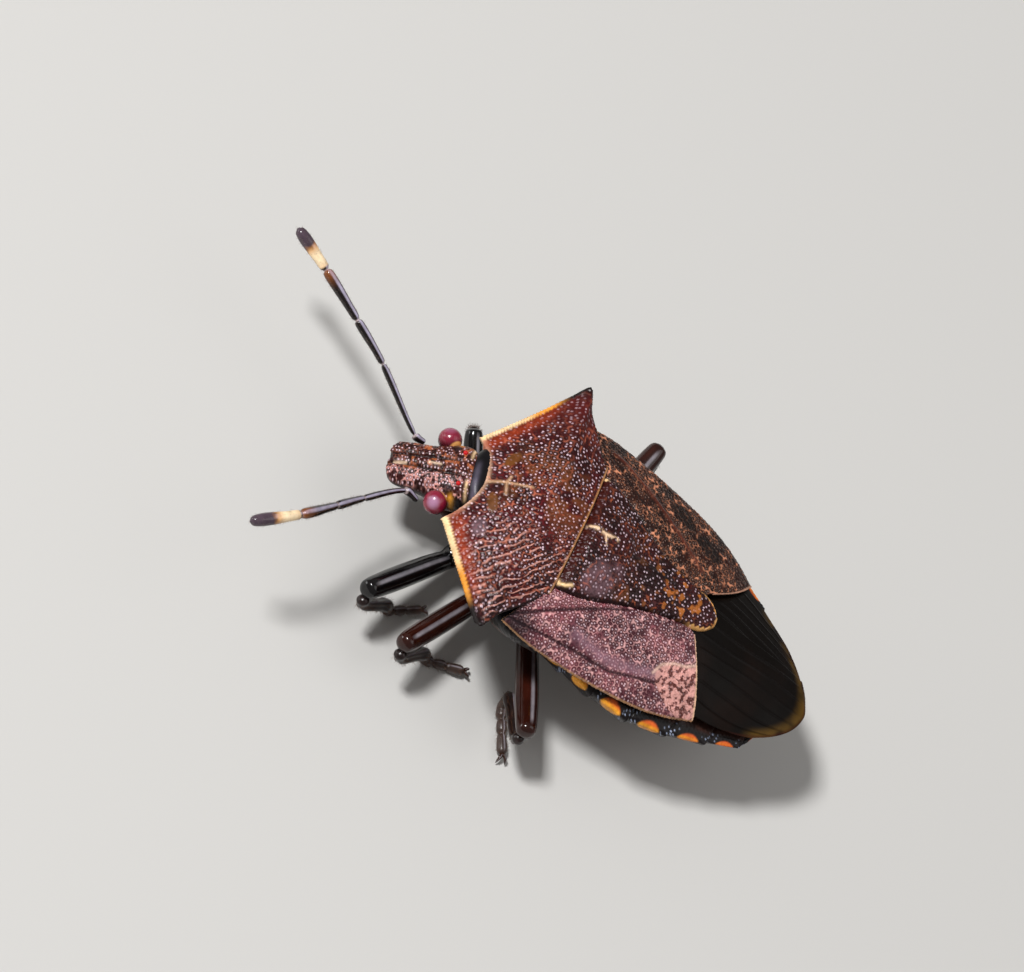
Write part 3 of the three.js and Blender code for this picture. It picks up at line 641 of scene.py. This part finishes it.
def makeAbdomen(rows=420, count=220):
    # Rings with an arched top and a deep keel, their width stepped at each segment.
    look = bellyLook
    y, a = ringGrid(1.2, 9.34, rows, count)
    ends = np.array([2.2] + segmentEnds + [9.6])
    k = np.clip(np.searchsorted(ends, y, side="right") - 1, 0, len(ends) - 2)
    place = (y - ends[k]) / (ends[k + 1] - ends[k])             # 0 to 1 along each segment
    step = 0.12 * place ** 3 * (y < 9.06)
    half = profile(abdomenSide, y) - 0.02 + step * 0.9
    rim, top, keel = profile(abdomenRim, y), profile(abdomenTop, y), profile(abdomenKeel, y)
    x = half * boxy(np.cos(a), 0.96)
    z = bodyRing(a, rim, top, keel)
    z = z + 0.02 * step * (np.sin(a) > 0)
    first, _, pick = pits(x + 40, y + 0.7 * z, 0.1, 71)
    dotted = bell(first, 0.38)
    toSeam = np.minimum(place, 1 - place)
    seam = bell(toSeam, 0.035) * (y > 2.6)
    height = -0.012 * dotted - 0.035 * seam
    pale = smooth(0.4, 0.75, cloud(x + 9, y, 0.4, 72)) * (np.sin(a) < 0)
    # The banded edge: black, with a crescent of orange in the middle of each segment and painted glints near
    # the seams of the black.
    border = np.maximum(smooth(0.82, 0.9, np.abs(np.cos(a))), smooth(2.7, 2.3, y))
    warm = paint(plain(look["front"], x), look["rear"],
                 np.maximum(smooth(5.5, 9.5, y) * 0.8, smooth(0.12, 0.3, np.sin(a)) * 0.8))
    bow = np.hypot((place - 0.5) / 0.27, (np.sin(a) - 0.06) / 0.3)
    crescent = smooth(1.1, 0.85, bow) * (y > 2.3)
    paintedSparkle = (1 - smooth(0.18, 0.3, first)) * border * smooth(0.25, 0.12, toSeam) * (pick > 0.35)
    spiracle = bell(np.hypot((place - 0.5) * 1.2, (np.abs(x) / half - 0.72) * 3), 0.07) * (np.sin(a) < -0.3)
    colour = layered(plain(look["base"], x), [
        (look["pale"], pale * 0.6), (look["band"], border * 0.95), (warm, crescent * 0.95),
        (look["glint"], paintedSparkle * 0.7), (look["spiracle"], spiracle)])
    rings = raised(np.stack([x, y, z], axis=-1), height)
    rough = look["rough"] + 0.1 * dotted
    tube("bandedAbdomen", rings, colour, rough, "abdomen", bellyMaterial)


def makeThorax(rows=150, count=220):
    # Rings that widen from the neck, deep below and flat above.
    look = bellyLook
    yRows = [(-1.3, 0.62), (-1.05, 1.15), (-0.85, 1.55), (-0.4, 2.25), (0.3, 2.95), (1.2, 3.3), (2.2, 3.22)]
    y, a = ringGrid(-1.3, 2.25, rows, count)
    half = profile(yRows, y)
    rim = profile([(-1.3, 3.3), (-1.05, 3.12), (-0.4, 3.15), (0.3, 3.3), (2.2, 3.25)], y)
    top = profile([(-1.3, 3.5), (-1.05, 3.52), (-0.4, 3.62), (0.3, 3.85), (2.2, 4.0)], y)
    keel = profile([(-1.3, 3.1), (-1.05, 2.72), (-0.85, 2.1), (-0.4, 1.45), (0.3, 1.2), (2.2, 1.2)], y)
    x = half * np.cos(a)
    z = bodyRing(a, rim, top, keel)
    first = pits(x + 20, y + 0.8 * z, 0.17, 75)[0]
    seams = np.maximum(line(x, y, [(-4, 0.2), (4, 0.2)], 0.05), line(x, y, [(-4, 1.5), (4, 1.5)], 0.05))
    groove = bell(x, 0.22) * (np.sin(a) < 0)
    height = -0.025 * bell(first, 0.4) - 0.05 * seams - 0.08 * groove
    colour = layered(plain(look["base"], x), [
        (look["pale"], smooth(0.4, 0.75, cloud(x + 9, y + z, 0.5, 77)) * 0.6),
        (look["pit"], bell(first, 0.45) * 0.7 + seams * 0.6), (look["upper"], smooth(2.6, 3.1, z))])
    rings = raised(np.stack([x, y, z], axis=-1), height)
    tube("thoraxUnder", rings, colour, np.full(x.shape, look["rough"]), "thorax", bellyMaterial)


makeAbdomen()
makeThorax()
print("belly")

# Head: parallel-sided, with furrows between its lobes, its eyes and the two red simple eyes.
# Each row is a place along the head, half its width there, how far its top lies down, and its depth.
headLook = {"base": "#361010", "shade": "#2a100d", "ridge": "#9c5844", "cream": "#dd9c94", "glint": "#f0cbd4",
            "speckle": "#b5643a", "groove": "#120607", "streak": "#f2d2b4", "besideEye": "#1a0f14",
            "skin": "#140c0f", "patch": "#eba43c", "rear": "#ecc89a", "below": "#0f0709", "rough": 0.32}
headRows = [(-0.3, 0.76, 0.1, 1.12), (-0.08, 0.92, 0.02, 1.35), (0.15, 0.96, 0, 1.42), (0.5, 0.93, 0, 1.42),
            (0.85, 0.8, 0, 1.25), (1.2, 0.73, 0, 1.0), (1.62, 0.7, 0, 0.78), (1.93, 0.64, 0.02, 0.62),
            (2.095, 0.5, 0.07, 0.48), (2.155, 0.34, 0.14, 0.36)]


def makeHead(rows=280, count=320):
    # Rings along the head's axis: a soft box section with the lobes' furrows pressed in.
    look = headLook
    s, a = ringGrid(-0.3, headPose["length"], rows, count)
    half, drop, depth = (profile([(row[0], row[k]) for row in headRows], s) for k in (1, 2, 3))
    side = half * boxy(np.cos(a), 0.8)
    up = -drop - depth / 2 + depth / 2 * boxy(np.sin(a), 0.85)
    topside = smooth(0.0, 0.35, np.sin(a))
    # Middle lobe between two furrows that run to the notch, side lobes swollen beyond them.
    lobeLine = mix(0.22, 0.15, smooth(0.3, 2.0, s))
    furrow = bell(np.abs(side) - lobeLine, 0.035) * topside * smooth(-0.2, 0.2, s)
    notch = bell(side + 0.1, 0.09) * smooth(2.02, 2.155, s)
    along = s - 0.22 * notch
    swell = np.sin(np.clip((np.abs(side) - lobeLine) / (0.72 - lobeLine), 0, 1) * math.pi)
    up = up + topside * (0.05 * swell * smooth(0.5, 1.0, s) - 0.06 * furrow
                         + 0.03 * bell(side, 0.12) * smooth(0.5, 1.0, s))
    # Fine pits with painted glints, wavy ridges between them, palest on the left side lobe.
    first, _, pick = pits(s + 30, side + 20, 0.1, 81)
    worm = bell(cloud(s * 0.8 + 5, side, 0.13, 83) - 0.5, 0.09) * smooth(0.25, 0.45, first)
    leftLobe = smooth(0.2, 0.34, side)
    # bead marks only where the painted glint goes in each pit; nothing is raised there.
    bead = 1 - smooth(0.16, 0.3, first)
    height = (-0.014 * bell(first, 0.4) + 0.012 * worm) * topside
    ridge = paint(plain(look["ridge"], s), look["cream"], leftLobe)
    speckle = smooth(0.6, 0.7, cloud(s, side + 3, 0.16, 87)) * topside * (1 - leftLobe)
    streak = np.maximum(line(side, s, [(0.0, 0.62), (0.0, 0.95)], 0.035),
                        line(side, s, [(0.12, 1.6), (0.14, 1.95)], 0.03))
    # Smooth dark skin and a pale orange patch beside each eye, and the cream rim at the hind corners.
    dark = spot(np.abs(side), s, 0.66, 0.3, 0.12, 0.16) * topside
    height = height * (1 - dark)
    skin = smooth(0.8, 0.87, np.abs(side)) * smooth(0.3, 0.2, s)
    behind = bell(np.abs(side) - 0.89, 0.1) * bell(s - 0.2, 0.08)
    rearRim = bell(s + 0.2, 0.04) * smooth(0.25, 0.5, np.abs(side)) * topside
    colour = layered(plain(look["base"], s), [
        (look["shade"], smooth(0.35, 0.65, cloud(s, side + 7, 0.3, 86))),
        (ridge, worm * topside * (0.45 + 0.5 * leftLobe)),
        (look["glint"], bead * (pick > 0.4) * topside * 0.8), (look["speckle"], speckle * 0.7),
        (look["groove"], furrow * 0.9), (look["streak"], streak * topside * 0.8),
        (look["besideEye"], dark * 0.85), (look["skin"], skin * 0.95), (look["patch"], behind * 0.95),
        (look["rear"], rearRim * 0.9), (look["below"], smooth(0.05, -0.1, np.sin(a)) * 0.7)])
    rings = raised(headAt(along, side, up), height)
    rough = look["rough"] - 0.1 * bead
    tube("headCapsule", rings, colour, rough, "head", backMaterial)


def globe(centre, radii, rows, count):
    # Rings from pole to pole of an oval ball on the head's axes.
    b, a = ringGrid(0.02, math.pi - 0.02, rows, count)
    return (np.asarray(centre) + np.multiply.outer(radii[0] * np.cos(b), forward)
            + np.multiply.outer(radii[1] * np.sin(b) * np.cos(a), sideways)
            + np.multiply.outer(radii[2] * np.sin(b) * np.sin(a), upward)), b, a


eyeLook = {"wine": "#821832", "rim": "#470c18", "paintedSheen": "#c7a0c4", "simple": "#c4060e", "seat": "#e8a862",
           "facet": 0.12, "simpleRadius": 0.07}


def makeEye(name, sign, node):
    # Ball with a fine honeycomb of facets, a painted pale highlight towards the top, stronger on the left
    # eye, and painted shade on the side turned away from it.
    radius = headPose["eyeRadius"]
    rings, b, a = globe(headAt(0.6, sign * 1.03, -0.4), (radius, radius, radius * 1.1), 130, 180)
    first, second, _ = pits(a * 4.2 * np.sin(b), b * 4.2, eyeLook["facet"], 91, loose=0.08)
    facet = smooth(0.0, 0.3, second - first)
    n = ringNormals(rings)
    rings = rings + n * (0.004 * facet)[..., None]
    # How far each point faces up and outwards: the highlight is painted where this is high and shade where it
    # is low.
    out = (n * (sideways * sign * 0.55 + upward * 0.8)).sum(-1)
    seat = (n * (sideways * sign * 0.75 + forward * 0.66)).sum(-1)
    colour = layered(plain(eyeLook["wine"], b), [
        (eyeLook["rim"], smooth(0.5, -0.2, out)),
        (eyeLook["paintedSheen"], smooth(0.7, 1.0, out) * (0.62 if sign > 0 else 0.2)),
        (eyeLook["seat"], smooth(-0.74, -0.84, seat))])
    tube(name, rings, colour, 0.16 + 0.1 * facet, node, eyeMaterial)


def makeOcelli():
    # Two small domes on the crown.
    radius = eyeLook["simpleRadius"]
    for name, sign in (("simpleEye_left", 1), ("simpleEye_right", -1)):
        rings, b, _ = globe(headAt(0.02, sign * 0.5, -0.06), (radius, radius, 0.075), 26, 40)
        tube(name, rings, plain(eyeLook["simple"], b), np.full(b.shape, 0.15), None, eyeMaterial)


neckLook = {"dark": "#0c090c", "sheen": "#8d839c", "rough": 0.36}


def makeCollar(rows=60, count=260):
    # Smooth dark neck: the head's own section carried back and widened under the front margin, with a painted
    # sheen across it.
    s, a = ringGrid(-0.72, -0.2, rows, count)
    wide = profile([(-0.72, 1.12), (-0.5, 1.06), (-0.35, 0.93), (-0.2, 0.74)], s)
    low = profile([(-0.72, 0.14), (-0.5, 0.07), (-0.35, 0.08), (-0.2, 0.16)], s)
    side = wide * boxy(np.cos(a), 0.8)
    up = -low - 0.6 + 0.6 * boxy(np.sin(a), 0.85) + 0.1 * s * (np.sin(a) > 0)
    rings = headAt(s, side, up)
    # gloss is the mask of the painted sheen along the middle of the neck's top.
    gloss = bell(s + 0.42, 0.09) * smooth(0.2, 0.6, np.sin(a)) * smooth(-0.5, 0.1, side)
    colour = paint(plain(neckLook["dark"], s), neckLook["sheen"], gloss * 0.3)
    tube("neckBand", rings, colour, np.full(s.shape, neckLook["rough"]), None, bellyMaterial)


makeHead()
makeEye("eyeBall_left", 1, "eye_left")
makeEye("eyeBall_right", -1, "eye_right")
makeOcelli()
makeCollar()
print("head")


def lengthsAlong(points):
    # Distance along a row of points from its start.
    return np.concatenate([[0], np.cumsum(np.linalg.norm(np.diff(points, axis=0), axis=1))])


def pathRings(points, radii, count, steps):
    # Profile of radii carried along a smooth path through the points.
    points = np.asarray(points, float)
    lengths = lengthsAlong(points)
    t = np.linspace(0, lengths[-1], steps)
    centre = np.stack([profile(list(zip(lengths, points[:, k])), t) for k in range(3)], axis=-1)
    along = np.gradient(centre, axis=0)
    along /= np.linalg.norm(along, axis=1, keepdims=True)
    side = np.cross(skyward, along)
    side /= np.linalg.norm(side, axis=1, keepdims=True)
    up = np.cross(along, side)
    radius = profile(radii, t / lengths[-1])
    turn = np.linspace(0, 2 * math.pi, count, endpoint=False)
    rings = (centre[:, None] + radius[:, None, None] * (np.cos(turn)[None, :, None] * side[:, None]
                                                        + np.sin(turn)[None, :, None] * up[:, None]))
    return rings, t / lengths[-1], turn


def hairs(name, roots, heads, width, tint):
    # Thin three-sided spikes, each from a root to its tip.
    along = heads - roots
    side = unit(np.cross(along, skyward + 0.01))
    other = unit(np.cross(along, side))
    corners = [roots + width * (math.cos(t) * side + math.sin(t) * other) for t in (0, 2.094, 4.189)]
    points = np.stack(corners + [heads], axis=1).reshape(-1, 3)
    loops = (np.arange(len(roots))[:, None] * 4 + np.array([0, 2, 1, 0, 1, 3, 1, 2, 3, 2, 0, 3])).ravel()
    putPiece(name, points, loops, np.arange(0, len(loops), 3), np.tile(linear(tint), (len(points), 1)),
             np.full(len(points), 0.4), None, hairMaterial)


def scatterHairs(rings, share, length, lean, seed, spread=0.6):
    # Roots picked from the rings' points, tips out along the normal and forward along the limb.
    rng = np.random.default_rng(seed)
    rows, count = rings.shape[:2]
    n = ringNormals(rings)
    along = unit(np.gradient(rings, axis=0))
    chosen = rng.random((rows, count)) < share
    roots = rings[chosen]
    way = n[chosen] + along[chosen] * lean + spread * (rng.random(roots.shape) - 0.5)
    way /= np.linalg.norm(way, axis=1, keepdims=True)
    size = length * (0.6 + 0.6 * rng.random(len(roots)))
    return roots - way * 0.02, roots + way * size[:, None]


# Feelers: five joints, the last pale at its base and dark at its tip.
feelerLook = {"black": "#17100f", "sheen": "#cfc6e0", "joint": "#c9b4b4", "pale": "#f6dcb4",
              "orange": "#e9973c", "grey": "#4a3c46", "amber": "#a85f28", "hair": "#8a7468", "rough": 0.16,
              "radii": (0.12, 0.1, 0.13, 0.155, 0.185)}
feelerJoints = {
    "right": [headAt(1.35, -0.95, -0.62), (-0.95, -3.52, 2.42), (-1.93, -5.45, 2.98), (-2.5, -6.75, 3.2),
              (-3.14, -8.28, 3.42), (-3.62, -9.6, 3.6)],
    "left": [headAt(1.15, 0.97, -0.55), (0.96, -3.14, 2.7), (2.33, -4.29, 3.25), (3.39, -5.06, 3.78),
             (4.69, -6.04, 4.4), (5.76, -7.22, 4.3)]}
jointShape = [(0.02, 0.5), (0.06, 0.72), (0.3, 0.82), (0.7, 1.0)]
jointEnd = {"plain": [(0.9, 0.98), (0.965, 0.8), (0.995, 0.45)],
            "last": [(0.9, 0.86), (0.965, 0.6), (0.995, 0.2)]}


def makeFeeler(side):
    # One profile over all five joints, pinched at each, with a pale ring there.
    look = feelerLook
    joints = np.array(feelerJoints[side])
    marks = lengthsAlong(joints)
    marks = marks / marks[-1]
    rows = []
    for k, radius in enumerate(look["radii"]):
        for share, size in jointShape + jointEnd["last" if k == 4 else "plain"]:
            rows.append((mix(marks[k], marks[k + 1], share), radius * size))
    rings, t, turn = pathRings(joints, rows, 40, 420)
    tt, aa = np.meshgrid(t, turn, indexing="ij")
    ring = np.zeros(tt.shape)
    for m in marks[1:-1]:
        ring = np.maximum(ring, bell(tt - m, 0.004))
    inLast = (tt - marks[4]) / (1 - marks[4])
    cream = smooth(0.04, 0.1, inLast) * smooth(0.66, 0.5, inLast + 0.12 * cloud(aa, tt * 40, 1.0, 3))
    glow = paint(plain(look["pale"], tt), look["orange"],
                 smooth(0.35, 0.62, inLast) + 0.35 * smooth(0.2, 0.0, inLast))
    amber = smooth(marks[3] + 0.6 * (marks[4] - marks[3]), marks[4], tt) * (tt < marks[4])
    # The pale streak along the top of each feeler is a painted highlight.
    colour = layered(plain(look["black"], tt), [
        (look["sheen"], smooth(0.88, 1.0, np.sin(aa)) * 0.6), (look["joint"], ring * 0.6),
        (look["grey"], smooth(0.5, 0.6, inLast)), (glow, cream), (look["amber"], amber * 0.45)])
    tube(f"feeler_{side}", rings, colour, np.full(tt.shape, look["rough"]), f"antenna_{side}",
         feelerMaterial)
    roots, heads = scatterHairs(rings[60:], 0.05, 0.09, 0.9, 7)
    hairs(f"feelerHair_{side}", roots, heads, 0.004, look["hair"])


makeFeeler("right")
makeFeeler("left")
print("feelers")

# Legs: hip, knee, ankle and toe of each, and the thigh's radius, as in the solids.
legLook = {"fore": "#070506", "other": "#280d07", "shin": "#180b09", "foot": "#3a2a24", "claw": "#2a1408",
           "line": "#d6d0da", "hair": "#6b4a35", "thighRough": 0.16, "shinRough": 0.28, "footRough": 0.35,
           "clawRough": 0.2, "flutes": 0.02}
legPoints = {
    "fore_left": ((0.8, -0.55, 0.92), (4.06, -2.74, 2.1), (3.1, -1.5, 0.62), (2.3, -0.4, 0.2), 0.33),
    "mid_left": ((1.0, 0.95, 0.86), (4.86, -1.08, 2.1), (3.7, 0.1, 0.62), (3.2, 1.5, 0.2), 0.33),
    "hind_left": ((1.0, 2.4, 0.86), (5.1, 3.28, 2.3), (3.25, 2.9, 0.62), (4.76, 3.6, 0.2), 0.33),
    "fore_right": ((-0.8, -0.55, 0.92), (-2.73, -1.83, 1.8), (-3.45, -1.45, 0.62), (-3.3, -0.15, 0.2), 0.28),
    "mid_right": ((-1.0, 0.95, 0.86), (-3.95, 0.6, 2.2), (-3.4, 1.5, 0.62), (-3.0, 2.9, 0.2), 0.33),
    "hind_right": ((-1.0, 2.4, 0.86), (-5.58, 3.33, 2.4), (-3.5, 3.4, 0.62), (-3.8, 5.0, 0.2), 0.33)}


def legColour(rings, base, seed):
    # Base colour with slow mottling and a painted highlight along the top.
    rows, count = rings.shape[:2]
    t, a = grid(rows, count, 0.0, 2 * math.pi)
    colour = paint(plain(base, t), linear(base, 1.9), smooth(0.45, 0.8, cloud(t * 6, a, 0.7, seed)) * 0.7)
    top = smooth(0.975, 1.0, np.sin(a)) * smooth(0.1, 0.3, t) * smooth(0.97, 0.9, t)
    return paint(colour, legLook["line"], top * 0.35)


# Radii along thigh and shin, as shares of the thigh's radius, and along foot and claw in millimetres.
thighShape = [(0, 0.9), (0.06, 0.98), (0.12, 0.9), (0.16, 0.86), (0.22, 0.92), (0.4, 1.0), (0.7, 1.04),
              (0.88, 0.98), (0.95, 0.9), (0.985, 0.74), (1, 0.35)]
shinShape = [(0, 0.3), (0.05, 0.55), (0.12, 0.5), (0.3, 0.5), (0.7, 0.54), (0.93, 0.62), (1, 0.3)]
footShape = [(0, 0.12), (0.06, 0.15), (0.3, 0.155), (0.4, 0.165), (0.46, 0.1), (0.5, 0.14), (0.62, 0.15),
             (0.68, 0.1), (0.72, 0.13), (0.9, 0.155), (0.97, 0.13), (1, 0.05)]
clawShape = [(0, 0.06), (0.4, 0.05), (0.8, 0.03), (1, 0.008)]


def limb(name, points, shape, count, steps, base, seed, rough, node, material=legMaterial,
         flutes=0.0):
    # One part of a limb along its path, with four shallow grooves along it as deep as flutes says.
    rings, t, turn = pathRings(points, shape, count, steps)
    if flutes:
        wave = np.cos(4 * turn)[None] * smooth(0.06, 0.2, t)[:, None] * smooth(1.0, 0.9, t)[:, None]
        rings = raised(rings, flutes * wave)
    tube(name, rings, legColour(rings, base, seed), np.full(rings.shape[:2], rough), node, material)
    return rings


def makeLeg(name, hip, knee, ankle, toe, thick, seed):
    # Thigh with its hip joint, grooved shin, three-part foot with pads and two claws.
    look = legLook
    hip, knee, ankle, toe = (np.array(p, float) for p in (hip, knee, ankle, toe))
    rise = knee - hip
    thigh = rise / np.linalg.norm(rise)
    fold = ankle - knee
    fold = fold - fold.dot(thigh) * thigh
    fold /= np.linalg.norm(fold)
    root = hip + np.array([-0.12 * np.sign(hip[0]), 0, 0.38])
    limb(f"{name}_thighPiece", [root, hip, hip + rise * 0.3, hip + rise * 0.65, knee],
         [(t, thick * r) for t, r in thighShape], 56, 150,
         look["fore" if name.startswith("fore") else "other"], seed, look["thighRough"], f"{name}_thigh")
    shinTop = knee - thigh * 0.1 + fold * (thick * 1.36 + 0.1)
    down = ankle - shinTop
    shin = limb(f"{name}_shinPiece",
                [shinTop - fold * (thick * 0.75), shinTop + down * 0.12, shinTop + down * 0.5, ankle],
                [(t, thick * r) for t, r in shinShape], 48, 110, look["shin"], seed + 1, look["shinRough"],
                f"{name}_shin", flutes=look["flutes"])
    run = toe - ankle
    sole = np.array([*ankle[:2], 0.17])
    start, middle, end = sole + run * 0.16, sole + run * 0.5, toe.copy()
    start[2], middle[2], end[2] = 0.17, 0.16, 0.17
    footPath = [ankle + [0, 0, 0.05], mix(ankle, start, 0.55), start + [0, 0, 0.02], middle, end]
    foot = limb(f"{name}_footPiece", footPath, footShape, 40, 130, look["foot"], seed + 2,
                look["footRough"], f"{name}_foot")
    heading = np.array([run[0], run[1], 0])
    heading /= np.linalg.norm(heading)
    beside = np.array([-heading[1], heading[0], 0])
    for mark, sign in (("a", 1), ("b", -1)):
        clawEnd = toe + heading * 0.24 + beside * sign * 0.15
        limb(f"{name}_claw_{mark}", [toe + heading * -0.04, toe + heading * 0.12 + beside * sign * 0.09,
                                     np.array([*clawEnd[:2], 0.05])],
             clawShape, 20, 30, look["claw"], seed, look["clawRough"], None)
    rootsA, headsA = scatterHairs(shin[8:], 0.05, 0.16, 0.8, seed)
    rootsB, headsB = scatterHairs(foot[20:-6], 0.05, 0.11, 0.9, seed + 5)
    roots, heads = np.concatenate([rootsA, rootsB]), np.concatenate([headsA, headsB])
    heads[:, 2] = np.maximum(heads[:, 2], 0.02)
    hairs(f"{name}_hair", roots, heads, 0.005, look["hair"])


for number, (legName, points) in enumerate(legPoints.items()):
    makeLeg(legName, *points, seed=number * 10 + 3)
print("legs")

# Beak folded back under the head, swollen at its joints.
beakLook = {"base": "#3a2018", "rough": 0.3}
beakPath = [headAt(1.8, 0.0, -1.06), headAt(1.1, 0.0, -1.52), (0, -0.9, 1.3), (0, 0.2, 0.75), (0, 1.4, 0.74)]
beakShape = [(0, 0.12), (0.04, 0.2), (0.25, 0.19), (0.28, 0.16), (0.3, 0.19), (0.5, 0.17), (0.53, 0.14),
             (0.56, 0.17), (0.8, 0.14), (1, 0.05)]
limb("beakSheath", beakPath, beakShape, 40, 120, beakLook["base"], 5, beakLook["rough"], "beak",
     bellyMaterial)
print("beak")

# Floor, lights and camera.
stageLook = {"floor": (0.62, 0.61, 0.59), "floorReach": 0.8, "world": (0.8, 0.78, 0.77),
             "worldStrength": 0.28, "key": 0.95, "fill": 0.2, "rim": 0.25}
centre = (np.array([0.0, 2.0, 3.0]) + shift) * 0.001
floorMesh = bpy.data.meshes.new("paleFloor")
reach = stageLook["floorReach"]
floorCorners = [(-reach, -reach, 0), (reach, -reach, 0), (reach, reach, 0), (-reach, reach, 0)]
floorMesh.from_pydata(floorCorners, [], [(0, 1, 2, 3)])
floorMaterial = bpy.data.materials.new("paleFloor")
floorMaterial.use_nodes = True
floorShader = floorMaterial.node_tree.nodes["Principled BSDF"]
floorShader.inputs["Base Color"].default_value = (*stageLook["floor"], 1)
floorShader.inputs["Roughness"].default_value = 0.9
floorMesh.materials.append(floorMaterial)
floor = bpy.data.objects.new("paleFloor", floorMesh)
bpy.context.scene.collection.objects.link(floor)

world = bpy.data.worlds.new("studioWorld")
world.use_nodes = True
background = world.node_tree.nodes["Background"]
background.inputs["Color"].default_value = (*stageLook["world"], 1)
background.inputs["Strength"].default_value = stageLook["worldStrength"]
bpy.context.scene.world = world

# The camera's axes and place come from matching twelve points of the body to the picture.
right = np.array([-0.35916186, 0.79049391, 0.49610697])
downward = np.array([0.75973754, 0.55637974, -0.3365122])
ahead = np.array([-0.54203472, 0.25604874, -0.80039828])
cameraPlace = (np.array([96.9219, -46.7263, 147.6643]) + shift) * 0.001


def areaLight(name, way, away, size, power):
    # Square soft light, at a distance from the middle of the insect, aimed at it.
    data = bpy.data.lights.new(name, "AREA")
    data.size = size
    data.energy = power
    lamp = bpy.data.objects.new(name, data)
    place = centre + way * away
    lamp.location = place
    lamp.rotation_euler = (Vector(centre) - Vector(place)).to_track_quat("-Z", "Y").to_euler()
    bpy.context.scene.collection.objects.link(lamp)


areaLight("keyLight", ahead * -0.9 - downward * 0.5 - right * 0.12, 0.3, 0.045, stageLook["key"])
areaLight("fillLight", ahead * -0.5 + right * 0.9 - downward * 0.1, 0.35, 0.25, stageLook["fill"])
areaLight("rimLight", ahead * -0.25 - right * 0.8 - downward * 0.5, 0.3, 0.12, stageLook["rim"])

cameraData = bpy.data.cameras.new("photoCamera")
focalPixels, pictureWidth = 6378.4, 1024
cameraData.sensor_width = 36
cameraData.lens = focalPixels / pictureWidth * 36
cameraData.clip_start = 0.005
cameraData.clip_end = 5
camera = bpy.data.objects.new("photoCamera", cameraData)
camera.matrix_world = Matrix([[right[k], -downward[k], -ahead[k], cameraPlace[k]] for k in range(3)]
                             + [[0, 0, 0, 1]])
bpy.context.scene.collection.objects.link(camera)
bpy.context.scene.camera = camera
bpy.context.scene.view_settings.view_transform = "Standard"
print("stage")
